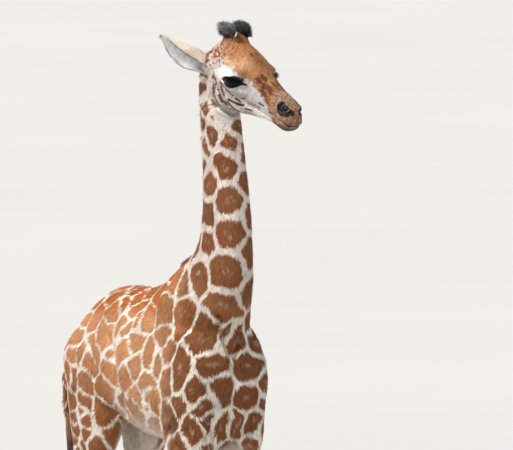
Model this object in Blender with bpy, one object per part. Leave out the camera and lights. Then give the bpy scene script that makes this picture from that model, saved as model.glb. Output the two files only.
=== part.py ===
"""A young reticulated giraffe standing at rest, life size, for a museum floor.

The flesh is lofted as a trunk, a neck, a head and four legs, fused into one smooth body,
and then parted with thin flat cuts into named pieces. Eyes, ears, ossicones, mane, tail
and hooves are pieces of their own that meet the flesh with a small gap.

Metres. +X is the animal's left, -Y its front, +Z up. The floor is Z = 0.
"""

import math
from collections import namedtuple

import bmesh
import bpy
import numpy as np
from mathutils import Matrix, Vector

# --- Driving sizes ---------------------------------------------------------------------
WITHERS = 1.226          # height of the top of the shoulders
CROUP = 1.145            # height of the rump's top
STERNUM = 0.765          # lowest point of the chest
BREAST_FRONT = -0.347    # most forward point of the breast
BUTTOCK_BACK = 0.362     # most backward point of the rump
KNEE = 0.500             # height of the front knee
HOCK = 0.530             # height of the hock
FETLOCK = 0.135          # height of the fetlock joint
CORONET = 0.064          # height at which hoof meets skin

EYE_MIDDLE = Vector((0.023, -0.388, 1.706))  # midway between the two eyes
HEAD_TURN = math.radians(12)                 # the head is turned to the animal's left
HEAD_DROOP = math.radians(23)                # the nose hangs below the eyes
EYE_RADIUS = 0.0265
EYE_LENGTH = 0.0355      # half the eyeball's length from corner to corner
EYE_OUT = 0.0388         # eyeball's centre, out from the middle of the head
EYE_SLANT = math.radians(19)                 # the eye's front corner is the higher
EAR_LENGTH = 0.134
EAR_LEAN = {-1: (0.74, 0.37, 0.53), 1: (0.70, 0.52, 0.46)}  # right, left: outwards, back, up

GAP = 0.0006             # between two pieces of flesh that a cut parts
SEAT = 0.0004            # between a piece and the flesh that it sits on
VOXEL = 0.005            # grain of the fused flesh
HEAD_TRIANGLES = 1250
BODY_TRIANGLES = 2500

# Fullness 2 is an ellipse, more is boxy, less comes to a ridge. It is given below and above.
Section = namedtuple("Section", "centre side up half_width rise drop fullness ridge", defaults=(None,))


# --- Small tools -----------------------------------------------------------------------
def clear_scene():
    for obj in list(bpy.data.objects):
        bpy.data.objects.remove(obj)


def mesh_object(name, points, faces):
    """A new object from points and faces, with its normals turned outwards."""
    mesh = bpy.data.meshes.new(name)
    mesh.from_pydata([tuple(p) for p in points], [], faces)
    tidy = bmesh.new()
    tidy.from_mesh(mesh)
    bmesh.ops.recalc_face_normals(tidy, faces=tidy.faces)
    tidy.to_mesh(mesh)
    tidy.free()
    obj = bpy.data.objects.new(name, mesh)
    bpy.context.scene.collection.objects.link(obj)
    return obj


def flow(rows, steps):
    """Rows of numbers joined by a Catmull-Rom curve, with steps new rows to each span."""
    rows = np.array(rows, float)
    ends = np.vstack([2 * rows[0] - rows[1], rows, 2 * rows[-1] - rows[-2]])
    made = []
    for i in range(1, len(ends) - 2):
        before, here, there, after = ends[i - 1:i + 3]
        for t in np.linspace(0, 1, steps, endpoint=False):
            made.append(0.5 * (
                2 * here + (there - before) * t
                + (2 * before - 5 * here + 4 * there - after) * t ** 2
                + (3 * here - before - 3 * there + after) * t ** 3
            ))
    made.append(rows[-1])
    return made


def bent(value, fullness):
    """A sine or cosine made fuller, for a section between an ellipse and a box."""
    return math.copysign(abs(value) ** (2 / fullness), value)


def ring(section, count):
    """The points round one section, starting on its side and going up."""
    points = []
    for i in range(count):
        angle = 2 * math.pi * i / count
        above = i <= count / 2
        fullness = (section.ridge or section.fullness) if above else section.fullness
        across = section.half_width * bent(math.cos(angle), fullness)
        along = (section.rise if above else section.drop) * bent(math.sin(angle), fullness)
        points.append(section.centre + section.side * across + section.up * along)
    return points


def loft(name, sections, count=28):
    """A closed skin through the rings of these sections."""
    points = [p for s in sections for p in ring(s, count)]
    faces = []
    for i in range(len(sections) - 1):
        for j in range(count):
            k = (j + 1) % count
            faces.append((i * count + j, i * count + k, (i + 1) * count + k, (i + 1) * count + j))
    faces.append(tuple(range(count)))
    faces.append(tuple(range((len(sections) - 1) * count, len(sections) * count)))
    return mesh_object(name, points, faces)


def ellipsoid(name, centre, radii, axes, rings=16, segments=24):
    """An ellipsoid with its radii along three given axes."""
    ball = bmesh.new()
    bmesh.ops.create_uvsphere(ball, u_segments=segments, v_segments=rings, radius=1)
    turn = Matrix((axes[0] * radii[0], axes[1] * radii[1], axes[2] * radii[2])).transposed()
    for vertex in ball.verts:
        vertex.co = turn @ vertex.co + centre
    mesh = bpy.data.meshes.new(name)
    bmesh.ops.recalc_face_normals(ball, faces=ball.faces)
    ball.to_mesh(mesh)
    ball.free()
    obj = bpy.data.objects.new(name, mesh)
    bpy.context.scene.collection.objects.link(obj)
    return obj


def settle(obj):
    """Bakes an object's modifiers into its mesh."""
    bpy.context.view_layer.update()
    shown = obj.evaluated_get(bpy.context.evaluated_depsgraph_get())
    mesh = bpy.data.meshes.new_from_object(shown)
    obj.modifiers.clear()
    obj.data = mesh
    return obj


def joined(name, pieces):
    """One object that holds the faces of all these pieces, which are removed."""
    whole = bmesh.new()
    for piece in pieces:
        whole.from_mesh(piece.data)
        bpy.data.objects.remove(piece)
    mesh = bpy.data.meshes.new(name)
    whole.to_mesh(mesh)
    whole.free()
    obj = bpy.data.objects.new(name, mesh)
    bpy.context.scene.collection.objects.link(obj)
    return obj


def softened(obj, rounds, where):
    """The same skin after rounds of smoothing, as strong at each point as where says."""
    zone = obj.vertex_groups.new(name="zone")
    for vertex in obj.data.vertices:
        zone.add([vertex.index], where(vertex.co), "REPLACE")
    soften = obj.modifiers.new("soften", "SMOOTH")
    soften.factor = 0.5
    soften.iterations = rounds
    soften.vertex_group = "zone"
    settle(obj)
    obj.vertex_groups.clear()
    return obj


def fused(name, pieces, voxel):
    """The pieces melted into one closed skin."""
    obj = joined(name, pieces)
    remesh = obj.modifiers.new("melt", "REMESH")
    remesh.mode = "VOXEL"
    remesh.voxel_size = voxel
    return settle(obj)


def thinned(obj, triangles):
    """The same shape in about this many triangles."""
    now = sum(len(p.vertices) - 2 for p in obj.data.polygons)
    decimate = obj.modifiers.new("thin", "DECIMATE")
    decimate.ratio = min(1.0, triangles / now)
    decimate.use_collapse_triangulate = True
    return settle(obj)


def half(obj, name, point, outward):
    """A closed copy of what lies behind a plane, seen along its outward normal."""
    part = bmesh.new()
    part.from_mesh(obj.data)
    everything = part.verts[:] + part.edges[:] + part.faces[:]
    cut = bmesh.ops.bisect_plane(
        part, geom=everything, plane_co=point, plane_no=outward, clear_outer=True
    )
    rim = [e for e in cut["geom_cut"] if isinstance(e, bmesh.types.BMEdge)]
    bmesh.ops.holes_fill(part, edges=rim)
    bmesh.ops.triangulate(part, faces=[f for f in part.faces if len(f.verts) > 3])
    mesh = bpy.data.meshes.new(name)
    part.to_mesh(mesh)
    part.free()
    made = bpy.data.objects.new(name, mesh)
    bpy.context.scene.collection.objects.link(made)
    return made


def parted(obj, name_behind, name_ahead, point, outward):
    """Two closed pieces, one on each side of a plane, with the gap between them."""
    point, outward = Vector(point), Vector(outward).normalized()
    behind = half(obj, name_behind, point - outward * GAP / 2, outward)
    ahead = half(obj, name_ahead, point + outward * GAP / 2, -outward)
    bpy.data.objects.remove(obj)
    return behind, ahead


def hull(name, corners):
    """The convex body round these corners, used as a cutter."""
    shape = bmesh.new()
    for corner in corners:
        shape.verts.new(corner)
    bmesh.ops.convex_hull(shape, input=shape.verts)
    bmesh.ops.recalc_face_normals(shape, faces=shape.faces)
    mesh = bpy.data.meshes.new(name)
    shape.to_mesh(mesh)
    shape.free()
    obj = bpy.data.objects.new(name, mesh)
    bpy.context.scene.collection.objects.link(obj)
    obj.hide_render = True
    obj.display_type = "WIRE"
    return obj


def swollen(obj, by):
    """A cutter: a copy of a piece that is thicker all over by this much."""
    made = bpy.data.objects.new(obj.name + "_swollen", obj.data.copy())
    bpy.context.scene.collection.objects.link(made)
    made.hide_render = True
    swell = made.modifiers.new("swell", "DISPLACE")
    swell.strength = by
    swell.mid_level = 0
    return settle(made)


def boolean(obj, other, operation):
    """The object after one exact Boolean with another, which is kept."""
    tool = obj.modifiers.new("cut", "BOOLEAN")
    tool.operation = operation
    tool.solver = "EXACT"
    tool.object = other
    return settle(obj)


def copy_of(obj, name):
    made = bpy.data.objects.new(name, obj.data.copy())
    bpy.context.scene.collection.objects.link(made)
    return made


def largest_body(obj):
    """Drops the crumbs that a cut can leave, and keeps the largest closed body."""
    mesh = bmesh.new()
    mesh.from_mesh(obj.data)
    left = set(mesh.verts)
    bodies = []
    while left:
        stack = [left.pop()]
        body = set(stack)
        while stack:
            for edge in stack.pop().link_edges:
                for vertex in edge.verts:
                    if vertex in left:
                        left.discard(vertex)
                        body.add(vertex)
                        stack.append(vertex)
        bodies.append(body)
    bodies.sort(key=len)
    for body in bodies[:-1]:
        bmesh.ops.delete(mesh, geom=list(body), context="VERTS")
    mesh.to_mesh(obj.data)
    mesh.free()
    return obj


def remove(*objects):
    for obj in objects:
        bpy.data.objects.remove(obj)


# --- The head's own frame --------------------------------------------------------------
HEADING = Vector((math.sin(HEAD_TURN), -math.cos(HEAD_TURN), 0))
NOSEWARD = HEADING * math.cos(HEAD_DROOP) - Vector((0, 0, math.sin(HEAD_DROOP)))
CROWNWARD = HEADING * math.sin(HEAD_DROOP) + Vector((0, 0, math.cos(HEAD_DROOP)))
LEFTWARD = Vector((math.cos(HEAD_TURN), math.sin(HEAD_TURN), 0))


EYE_LINE = NOSEWARD * math.cos(EYE_SLANT) + CROWNWARD * math.sin(EYE_SLANT)
EYE_UP = CROWNWARD * math.cos(EYE_SLANT) - NOSEWARD * math.sin(EYE_SLANT)
EYE_AXES = (EYE_LINE, LEFTWARD, EYE_UP)


def on_head(nose, left, crown):
    """A point given from midway between the eyes: towards the nose, left and crown."""
    return EYE_MIDDLE + NOSEWARD * nose + LEFTWARD * left + CROWNWARD * crown


# --- Flesh -----------------------------------------------------------------------------
def trunk():
    """Rings along the back. Each row: place, top, belly, level of most width, half width,
    fullness of the belly and of the back."""
    rows = [
        (BREAST_FRONT, 0.985, 0.850, 0.915, 0.030, 2.0, 2.0),
        (-0.334, 1.056, 0.812, 0.920, 0.066, 2.1, 2.2),
        (-0.300, 1.130, 0.786, 0.930, 0.098, 2.3, 2.1),
        (-0.240, 1.190, STERNUM, 0.930, 0.114, 2.3, 1.85),
        (-0.170, WITHERS + 0.010, STERNUM, 0.935, 0.121, 2.2, 1.55),
        (-0.105, WITHERS - 0.004, 0.766, 0.940, 0.130, 2.1, 1.5),
        (-0.030, 1.172, 0.769, 0.950, 0.137, 2.2, 1.6),
        (0.050, 1.149, 0.783, 0.955, 0.138, 2.2, 1.75),
        (0.140, CROUP, 0.815, 0.965, 0.127, 2.2, 1.8),
        (0.220, 1.134, 0.852, 0.970, 0.120, 2.2, 1.6),
        (0.290, 1.104, 0.886, 0.975, 0.108, 2.1, 1.45),
        (0.338, 1.074, 0.915, 0.975, 0.080, 2.0, 1.5),
        (BUTTOCK_BACK, 1.035, 0.945, 0.975, 0.040, 2.0, 1.7),
    ]
    sections = [
        Section(
            Vector((0, y, wide)), Vector((1, 0, 0)), Vector((0, 0, 1)),
            half, top - wide, wide - low, full, ridge,
        )
        for y, top, low, wide, half, full, ridge in flow(rows, 4)
    ]
    return loft("trunk_flesh", sections, 36)


def neck():
    """Cuts across the neck. Each row: throat place and height, nape place and height, half width."""
    rows = [
        (-0.300, 0.900, 0.000, 1.080, 0.100),
        (-0.318, 1.000, -0.100, 1.190, 0.096),
        (-0.352, 1.090, -0.170, 1.243, 0.080),
        (-0.388, 1.190, -0.214, 1.290, 0.064),
        (-0.398, 1.290, -0.224, 1.350, 0.055),
        (-0.388, 1.400, -0.226, 1.435, 0.0495),
        (-0.366, 1.510, -0.220, 1.530, 0.0455),
        (-0.345, 1.590, -0.208, 1.630, 0.0445),
        (-0.325, 1.630, -0.205, 1.710, 0.0450),
        (-0.320, 1.660, -0.228, 1.762, 0.0400),
    ]
    sections = []
    for throat_y, throat_z, nape_y, nape_z, half in flow(rows, 4):
        throat, nape = Vector((0, throat_y, throat_z)), Vector((0, nape_y, nape_z))
        reach = (nape - throat).length
        up = (nape - throat) / reach
        middle = throat + up * reach * 0.47
        sections.append(Section(middle, Vector((1, 0, 0)), up, half, reach * 0.53, reach * 0.47, 2.15))
    return loft("neck_flesh", sections, 32)


def skull():
    """Rings along the head. Each row: place, crown, jaw, level of most width, half width, fullness."""
    rows = [
        (-0.142, 0.012, -0.030, -0.005, 0.010, 2.0),
        (-0.130, 0.038, -0.056, -0.004, 0.036, 2.1),
        (-0.105, 0.058, -0.078, -0.002, 0.050, 2.2),
        (-0.075, 0.067, -0.090, 0.000, 0.0550, 2.3),
        (-0.040, 0.068, -0.094, 0.002, 0.0565, 2.4),
        (0.000, 0.061, -0.091, 0.004, 0.0545, 2.4),
        (0.035, 0.049, -0.083, 0.000, 0.0450, 2.4),
        (0.070, 0.037, -0.073, -0.008, 0.0365, 2.4),
        (0.105, 0.029, -0.064, -0.014, 0.0315, 2.4),
        (0.135, 0.025, -0.059, -0.018, 0.0310, 2.5),
        (0.160, 0.019, -0.058, -0.022, 0.0325, 2.5),
        (0.180, 0.007, -0.055, -0.024, 0.0290, 2.4),
        (0.193, -0.009, -0.046, -0.027, 0.0195, 2.2),
        (0.199, -0.020, -0.036, -0.028, 0.0080, 2.0),
    ]
    sections = [
        Section(on_head(nose, 0, wide), LEFTWARD, CROWNWARD, half, top - wide, wide - low, full)
        for nose, top, low, wide, half, full in flow(rows, 4)
    ]
    pieces = [loft("skull_flesh", sections, 36)]
    axes = (NOSEWARD, LEFTWARD, CROWNWARD)
    for side in (-1, 1):
        pieces += [
            ellipsoid("brow", on_head(-0.008, 0.0440 * side, 0.021), (0.042, 0.0190, 0.015), EYE_AXES),
            ellipsoid("cheekbone", on_head(0.006, 0.0430 * side, -0.024), (0.042, 0.0165, 0.013), EYE_AXES),
            ellipsoid("jowl", on_head(-0.052, 0.0300 * side, -0.062), (0.048, 0.0240, 0.034), axes),
            ellipsoid("nostril_wing", on_head(0.157, 0.0205 * side, -0.001), (0.026, 0.0135, 0.014), axes),
            ellipsoid("lip", on_head(0.170, 0.0160 * side, -0.030), (0.026, 0.0160, 0.012), axes),
            ellipsoid("ear_root", on_head(-0.114, 0.0400 * side, -0.012), (0.026, 0.0220, 0.029), axes),
            ellipsoid("horn_root", on_head(-0.084, 0.0240 * side, 0.056), (0.022, 0.0170, 0.016), axes),
        ]
    pieces.append(ellipsoid("chin", on_head(0.160, 0, -0.050), (0.026, 0.018, 0.012), axes))
    return pieces


def leg(name, rows, side):
    """Level rings down a leg. Each row: height, place, out from the middle, half width, half depth."""
    sections = [
        Section(
            Vector((out * side, y, z)), Vector((1, 0, 0)), Vector((0, 1, 0)), half, deep, deep,
            2.25 + 0.5 * min(max((z - 0.65) / 0.15, 0), 1),
        )
        for z, y, out, half, deep in flow(rows, 3)
    ]
    return loft(name, sections, 24)


FORELEG = [
    (1.070, -0.215, 0.070, 0.034, 0.070),
    (1.000, -0.250, 0.070, 0.046, 0.086),
    (0.930, -0.258, 0.068, 0.054, 0.086),
    (0.860, -0.246, 0.064, 0.056, 0.092),
    (0.790, -0.242, 0.062, 0.054, 0.090),
    (0.720, -0.252, 0.061, 0.041, 0.062),
    (0.620, -0.262, 0.061, 0.0290, 0.0375),
    (KNEE + 0.050, -0.266, 0.062, 0.0290, 0.0340),
    (KNEE, -0.270, 0.063, 0.0335, 0.0375),
    (KNEE - 0.045, -0.268, 0.063, 0.0285, 0.0320),
    (KNEE - 0.100, -0.265, 0.064, 0.0205, 0.0250),
    (0.250, -0.265, 0.065, 0.0190, 0.0235),
    (FETLOCK + 0.035, -0.266, 0.066, 0.0215, 0.0270),
    (FETLOCK, -0.267, 0.066, 0.0260, 0.0320),
    (FETLOCK - 0.035, -0.276, 0.066, 0.0230, 0.0260),
    (CORONET + 0.006, -0.286, 0.066, 0.0280, 0.0310),
    (CORONET - 0.020, -0.290, 0.066, 0.0280, 0.0310),
]

HINDLEG = [
    (1.045, 0.212, 0.058, 0.028, 0.055),
    (1.005, 0.230, 0.067, 0.050, 0.092),
    (0.960, 0.234, 0.072, 0.060, 0.108),
    (0.890, 0.232, 0.073, 0.054, 0.106),
    (0.820, 0.227, 0.073, 0.047, 0.104),
    (0.760, 0.228, 0.072, 0.042, 0.098),
    (0.690, 0.248, 0.072, 0.0335, 0.070),
    (0.620, 0.270, 0.071, 0.0275, 0.050),
    (HOCK + 0.040, 0.288, 0.070, 0.0265, 0.0440),
    (HOCK, 0.298, 0.070, 0.0295, 0.0450),
    (HOCK - 0.060, 0.293, 0.070, 0.0250, 0.0330),
    (HOCK - 0.120, 0.286, 0.070, 0.0195, 0.0265),
    (0.250, 0.279, 0.070, 0.0185, 0.0250),
    (FETLOCK + 0.035, 0.275, 0.070, 0.0210, 0.0275),
    (FETLOCK, 0.273, 0.070, 0.0250, 0.0315),
    (FETLOCK - 0.035, 0.264, 0.070, 0.0220, 0.0260),
    (CORONET + 0.006, 0.254, 0.070, 0.0275, 0.0305),
    (CORONET - 0.020, 0.250, 0.070, 0.0275, 0.0305),
]


def muscles():
    """Low swellings and ridges that the rings alone leave out."""
    x, y, z = Vector((1, 0, 0)), Vector((0, 1, 0)), Vector((0, 0, 1))
    pieces = []
    for side in (-1, 1):
        pieces += [
            ellipsoid("shoulder_point", Vector((0.084 * side, -0.290, 0.935)), (0.036, 0.050, 0.062), (x, y, z)),
            ellipsoid("shoulder_blade", Vector((0.076 * side, -0.170, 1.080)), (0.036, 0.060, 0.100), (x, y, z)),
            ellipsoid("breast", Vector((0.043 * side, -0.300, 0.925)), (0.044, 0.053, 0.085), (x, y, z)),
            ellipsoid("stifle", Vector((0.094 * side, 0.132, 0.925)), (0.034, 0.088, 0.090), (x, y, z)),
            ellipsoid("elbow", Vector((0.070 * side, -0.168, 0.830)), (0.036, 0.042, 0.042), (x, y, z)),
            ellipsoid("hock_point", Vector((0.070 * side, 0.338, HOCK + 0.016)), (0.014, 0.014, 0.030), (x, y, z)),
            ellipsoid("hamstring", Vector((0.070 * side, 0.325, HOCK + 0.080)), (0.009, 0.013, 0.075), (x, y, z)),
        ]
    return pieces


# --- Pieces of their own ---------------------------------------------------------------
def eye(side):
    name = "eye_left" if side > 0 else "eye_right"
    centre = on_head(0, EYE_OUT * side, 0)
    return ellipsoid(name, centre, (EYE_LENGTH, EYE_RADIUS, EYE_RADIUS), EYE_AXES, 8, 12)


def ear(side):
    """A leaf rolled round its upper edge, open below and in front, and a tube at its root."""
    name = "ear_left" if side > 0 else "ear_right"
    outwards, back, up = EAR_LEAN[side]
    axis = (LEFTWARD * side * outwards - HEADING * back + Vector((0, 0, up))).normalized()
    facing = HEADING * 0.74 + LEFTWARD * side * 0.66 + Vector((0, 0, 0.10))
    facing = (facing - axis * facing.dot(axis)).normalized()
    down = axis.cross(facing).normalized() * side
    root = on_head(-0.120, 0.050 * side, -0.017)
    rows = [  # share of the length, half height, half depth, the roll's two edges (degrees), wall
        (-0.16, 0.0190, 0.0130, -176, 110, 0.0050),
        (0.05, 0.0255, 0.0150, -174, 80, 0.0042),
        (0.22, 0.0310, 0.0165, -172, 66, 0.0034),
        (0.42, 0.0310, 0.0160, -168, 56, 0.0028),
        (0.62, 0.0245, 0.0130, -156, 48, 0.0025),
        (0.80, 0.0160, 0.0090, -142, 36, 0.0022),
        (0.93, 0.0080, 0.0050, -128, 32, 0.0018),
        (1.00, 0.0030, 0.0024, -118, 30, 0.0014),
    ]
    steps = 9
    points, faces = [], []
    for share, tall, deep, first, last, wall in rows:
        centre = root + axis * share * EAR_LENGTH + down * 0.010 * math.sin(math.pi * max(share, 0))
        for inset, order in ((0, range(steps)), (wall, reversed(range(steps)))):
            for i in order:
                angle = math.radians(first + (last - first) * i / (steps - 1))
                points.append(
                    centre + down * (tall - inset) * math.sin(angle)
                    - facing * (deep - inset) * math.cos(angle)
                )
    count = 2 * steps
    for i in range(len(rows) - 1):
        for j in range(count):
            k = (j + 1) % count
            faces.append((i * count + j, i * count + k, (i + 1) * count + k, (i + 1) * count + j))
    faces.append(tuple(range(count)))
    faces.append(tuple(range((len(rows) - 1) * count, len(rows) * count)))
    return mesh_object(name, points, faces)


def ossicone(side):
    """A short skin-covered horn, and the tuft of hair that caps it."""
    word = "left" if side > 0 else "right"
    axis = (CROWNWARD * 0.92 - NOSEWARD * 0.20 + LEFTWARD * 0.03 * side).normalized()
    across = axis.cross(NOSEWARD).normalized()
    forward = across.cross(axis).normalized()
    foot = on_head(-0.086, 0.0215 * side, 0.052)

    def stack(name, rows, count):
        sections = [Section(foot + axis * h, across, forward, wide, deep, deep, 2.0) for h, wide, deep in rows]
        return loft(name, sections, count)

    horn_top = 0.034
    horn = [(0.0, 0.0170, 0.0180), (0.014, 0.0155, 0.0165), (0.026, 0.0145, 0.0155), (horn_top, 0.0135, 0.0145)]
    lowest = horn_top + SEAT
    hair = [
        (lowest, 0.0165, 0.0190), (0.042, 0.0200, 0.0245), (0.052, 0.0190, 0.0240),
        (0.062, 0.0130, 0.0170), (0.068, 0.0050, 0.0070),
    ]
    return stack("ossicone_" + word, horn, 12), stack("ossicone_tuft_" + word, hair, 12)


def mane():
    """A low upright crest of hair from the poll to the withers."""
    rows = [  # place, height, and how far the crest stands out
        (-0.238, 1.752, 0.012),
        (-0.200, 1.710, 0.026),
        (-0.202, 1.630, 0.030),
        (-0.214, 1.530, 0.031),
        (-0.220, 1.435, 0.031),
        (-0.218, 1.350, 0.032),
        (-0.208, 1.290, 0.027),
        (-0.175, 1.246, 0.020),
        (-0.120, 1.222, 0.013),
    ]
    spine = flow(rows, 2)
    sections = []
    for i, (y, z, stand) in enumerate(spine):
        ahead, behind = spine[min(i + 1, len(spine) - 1)], spine[max(i - 1, 0)]
        run = Vector((0, ahead[0] - behind[0], ahead[1] - behind[1])).normalized()
        out = Vector((0, -run.z, run.y))
        sections.append(Section(Vector((0, y, z)), Vector((1, 0, 0)), out, 0.0095, stand, 0.018, 2.0))
    return loft("mane", sections, 8)


def tail():
    """The dock, swung a little to the right, and the long tuft at its end."""
    rows = [  # sideways, place, height, radius
        (0.000, 0.325, 1.062, 0.0200),
        (-0.004, 0.358, 1.040, 0.0175),
        (-0.030, 0.385, 0.995, 0.0145),
        (-0.055, 0.396, 0.940, 0.0125),
        (-0.066, 0.399, 0.880, 0.0110),
        (-0.064, 0.396, 0.810, 0.0095),
        (-0.056, 0.390, 0.740, 0.0085),
        (-0.051, 0.387, 0.700, 0.0165),
        (-0.046, 0.385, 0.650, 0.0190),
        (-0.043, 0.384, 0.600, 0.0160),
        (-0.042, 0.384, 0.555, 0.0095),
        (-0.042, 0.384, 0.525, 0.0030),
    ]
    joint = 6
    sections = []
    for i, (x, y, z, radius) in enumerate(rows):
        ahead, behind = rows[min(i + 1, len(rows) - 1)], rows[max(i - 1, 0)]
        run = (Vector(ahead[:3]) - Vector(behind[:3])).normalized()
        side = run.cross(Vector((0, 1, 0))).normalized()
        sections.append(Section(Vector((x, y, z)), side, side.cross(run), radius, radius, radius, 2.0))
    start = sections[joint]
    below = (sections[joint + 1].centre - start.centre).normalized() * 3 * SEAT
    hair = [start._replace(centre=start.centre + below), *sections[joint + 1:]]
    return loft("tail", sections[:joint + 1], 10), loft("tail_tuft", hair, 10)


def hoof(name, out, y, inner):
    """One of a foot's two toes: flat below, sloping in front, flat where it faces its twin."""
    rows = [  # height, front reach, back reach, width
        (0.000, 0.052, 0.034, 0.0310),
        (0.012, 0.050, 0.035, 0.0315),
        (0.036, 0.040, 0.033, 0.0300),
        (CORONET - GAP, 0.029, 0.029, 0.0275),
    ]
    split = 0.0012
    count = 8
    points, faces = [], []
    for height, front, back, width in rows:
        for i in range(count + 1):
            angle = math.pi * i / count
            across = split + (width - split) * math.sin(angle) ** 0.7
            along = math.cos(angle)
            points.append(Vector((out + inner * across, y - (front if along > 0 else back) * along, height)))
    size = count + 1
    for i in range(len(rows) - 1):
        for j in range(size):
            k = (j + 1) % size
            faces.append((i * size + j, i * size + k, (i + 1) * size + k, (i + 1) * size + j))
    faces.append(tuple(range(size)))
    faces.append(tuple(range((len(rows) - 1) * size, len(rows) * size)))
    return mesh_object(name, points, faces)


# --- Parting the flesh -----------------------------------------------------------------
def leg_block(side, front, back, inner, top_inner, top_outer, grow):
    """The space that holds one leg: everything outside inner, below a roof that slopes."""
    outer = 0.30
    corners = []
    for y in (front - grow, back + grow):
        for x, top in ((inner - grow, top_inner + grow), (outer, top_outer + grow)):
            corners += [(x * side, y, top), (x * side, y, -0.1)]
    return hull("leg_block", corners)


def jaw_block(grow):
    """The space that holds the lower jaw: under the mouth's line, ahead of the jaw's angle."""
    corners = []
    for left in (-0.09, 0.09):
        corners += [
            on_head(0.24, left, -0.0435 + grow),
            on_head(0.100 - grow, left, -0.0350 + grow),
            on_head(-0.030 - grow, left, -0.0700 + grow),
            on_head(-0.060 - grow, left, -0.1300),
            on_head(0.24, left, -0.1300),
        ]
    return hull("jaw_block", corners)


def parted_head(head):
    """Eye sockets are hollowed, and the lower jaw is parted along the mouth."""
    eyes = [eye(side) for side in (-1, 1)]
    for side, ball in zip((-1, 1), eyes):
        slit = ellipsoid(
            "slit", on_head(0.002, 0.066 * side, -0.001), (0.0430, 0.027, 0.0130), EYE_AXES, 8, 12,
        )
        socket = swollen(ball, SEAT)
        head = boolean(boolean(head, slit, "DIFFERENCE"), socket, "DIFFERENCE")
        remove(slit, socket)
    jaw = copy_of(head, "lower_jaw")
    tight, loose = jaw_block(0), jaw_block(GAP)
    jaw = largest_body(boolean(jaw, tight, "INTERSECT"))
    head = largest_body(boolean(head, loose, "DIFFERENCE"))
    remove(tight, loose)
    return head, jaw, eyes


def parted_leg(body, word, side, front, back, inner, roof, cuts, names):
    """One leg's pieces, from the top down, and the body without that leg."""
    tight = leg_block(side, front, back, inner, *roof, 0)
    loose = leg_block(side, front, back, inner, *roof, GAP)
    whole = largest_body(boolean(copy_of(body, "leg"), tight, "INTERSECT"))
    body = largest_body(boolean(body, loose, "DIFFERENCE"))
    remove(tight, loose)
    pieces = []
    for height, name in zip(cuts, names):
        whole, piece = parted(whole, "leg", f"{name}_{word}", (0, 0, height), (0, 0, 1))
        pieces.append(largest_body(piece))
    remove(whole)
    return body, pieces


def flesh():
    """All the soft solids, from one fused body."""
    pieces = [trunk(), neck(), *skull(), *muscles()]
    for side in (-1, 1):
        pieces += [leg("foreleg", FORELEG, side), leg("hindleg", HINDLEG, side)]
    whole = fused("flesh", pieces, VOXEL)
    whole = softened(whole, 6, lambda place: 1)
    whole = softened(whole, 22, lambda place: min(max((place.z - 0.72) / 0.10, 0), 1) * (place.z < 1.5))
    poll = Vector((0, -0.270, 1.655))
    body, head = parted(whole, "body", "head", poll, (0, -0.50, 0.866))
    head, body = thinned(head, HEAD_TRIANGLES), thinned(body, BODY_TRIANGLES)
    head, jaw, eyes = parted_head(head)
    body, neck_piece = parted(body, "trunk", "neck", (0, -0.250, 1.165), (0, -0.66, 0.75))
    nodes = [head, jaw, neck_piece]
    for side, word in ((-1, "right"), (1, "left")):
        body, pieces = parted_leg(
            body, word, side, -0.45, -0.135, 0.020, (0.800, 0.905),
            (KNEE, FETLOCK, CORONET), ("forearm", "fore_cannon", "fore_pastern"),
        )
        nodes += pieces
        body, pieces = parted_leg(
            body, word, side, 0.095, 0.45, 0.016, (0.875, 0.945),
            (HOCK, FETLOCK, CORONET), ("thigh", "hind_cannon", "hind_pastern"),
        )
        nodes += pieces
    nodes.append(body)
    return nodes, eyes


def seated(piece, *carriers):
    """The piece with a seat cut into it by each solid that it grows from."""
    for carrier in carriers:
        cutter = swollen(carrier, SEAT)
        piece = largest_body(boolean(piece, cutter, "DIFFERENCE"))
        remove(cutter)
    return piece


def build():
    clear_scene()
    nodes, eyes = flesh()
    named = {node.name: node for node in nodes}
    head, neck_piece, body = named["head"], named["neck"], named["trunk"]
    extras = list(eyes)
    for side in (-1, 1):
        extras.append(seated(ear(side), head, neck_piece))
        horn, hair = ossicone(side)
        extras += [seated(horn, head), seated(hair, head)]
    extras.append(seated(mane(), head, neck_piece, body))
    dock, tuft = tail()
    extras += [seated(dock, body), tuft]
    for word, side in (("right", -1), ("left", 1)):
        for name, out, y in (("fore", FORELEG[-1][2], -0.290), ("hind", HINDLEG[-1][2], 0.252)):
            extras.append(hoof(f"hoof_{name}_{word}_outer", out * side, y, side))
            extras.append(hoof(f"hoof_{name}_{word}_inner", out * side, y, -side))
    return nodes + extras


# --- Finish ----------------------------------------------------------------------------
def material(name, colour, roughness):
    made = bpy.data.materials.new(name)
    made.use_nodes = True
    shader = made.node_tree.nodes["Principled BSDF"]
    shader.inputs["Base Color"].default_value = (*colour, 1)
    shader.inputs["Roughness"].default_value = roughness
    return made


def paint(nodes):
    """Each sub-part's own material, by what it is made of."""
    kinds = {
        "coat": material("coat", (0.52, 0.28, 0.13), 0.85),
        "mane_hair": material("mane_hair", (0.30, 0.13, 0.06), 0.80),
        "black_hair": material("black_hair", (0.02, 0.02, 0.02), 0.70),
        "eyeball": material("eyeball", (0.01, 0.008, 0.007), 0.10),
        "horn": material("horn", (0.12, 0.09, 0.07), 0.55),
    }
    for node in nodes:
        if node.name.startswith("eye_"):
            kind = "eyeball"
        elif node.name.startswith("hoof_"):
            kind = "horn"
        elif "tuft" in node.name:
            kind = "black_hair"
        elif node.name == "mane":
            kind = "mane_hair"
        else:
            kind = "coat"
        node.data.materials.clear()
        node.data.materials.append(kinds[kind])
        node.data.shade_smooth()
        node.data.set_sharp_from_angle(angle=math.radians(50))


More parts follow.
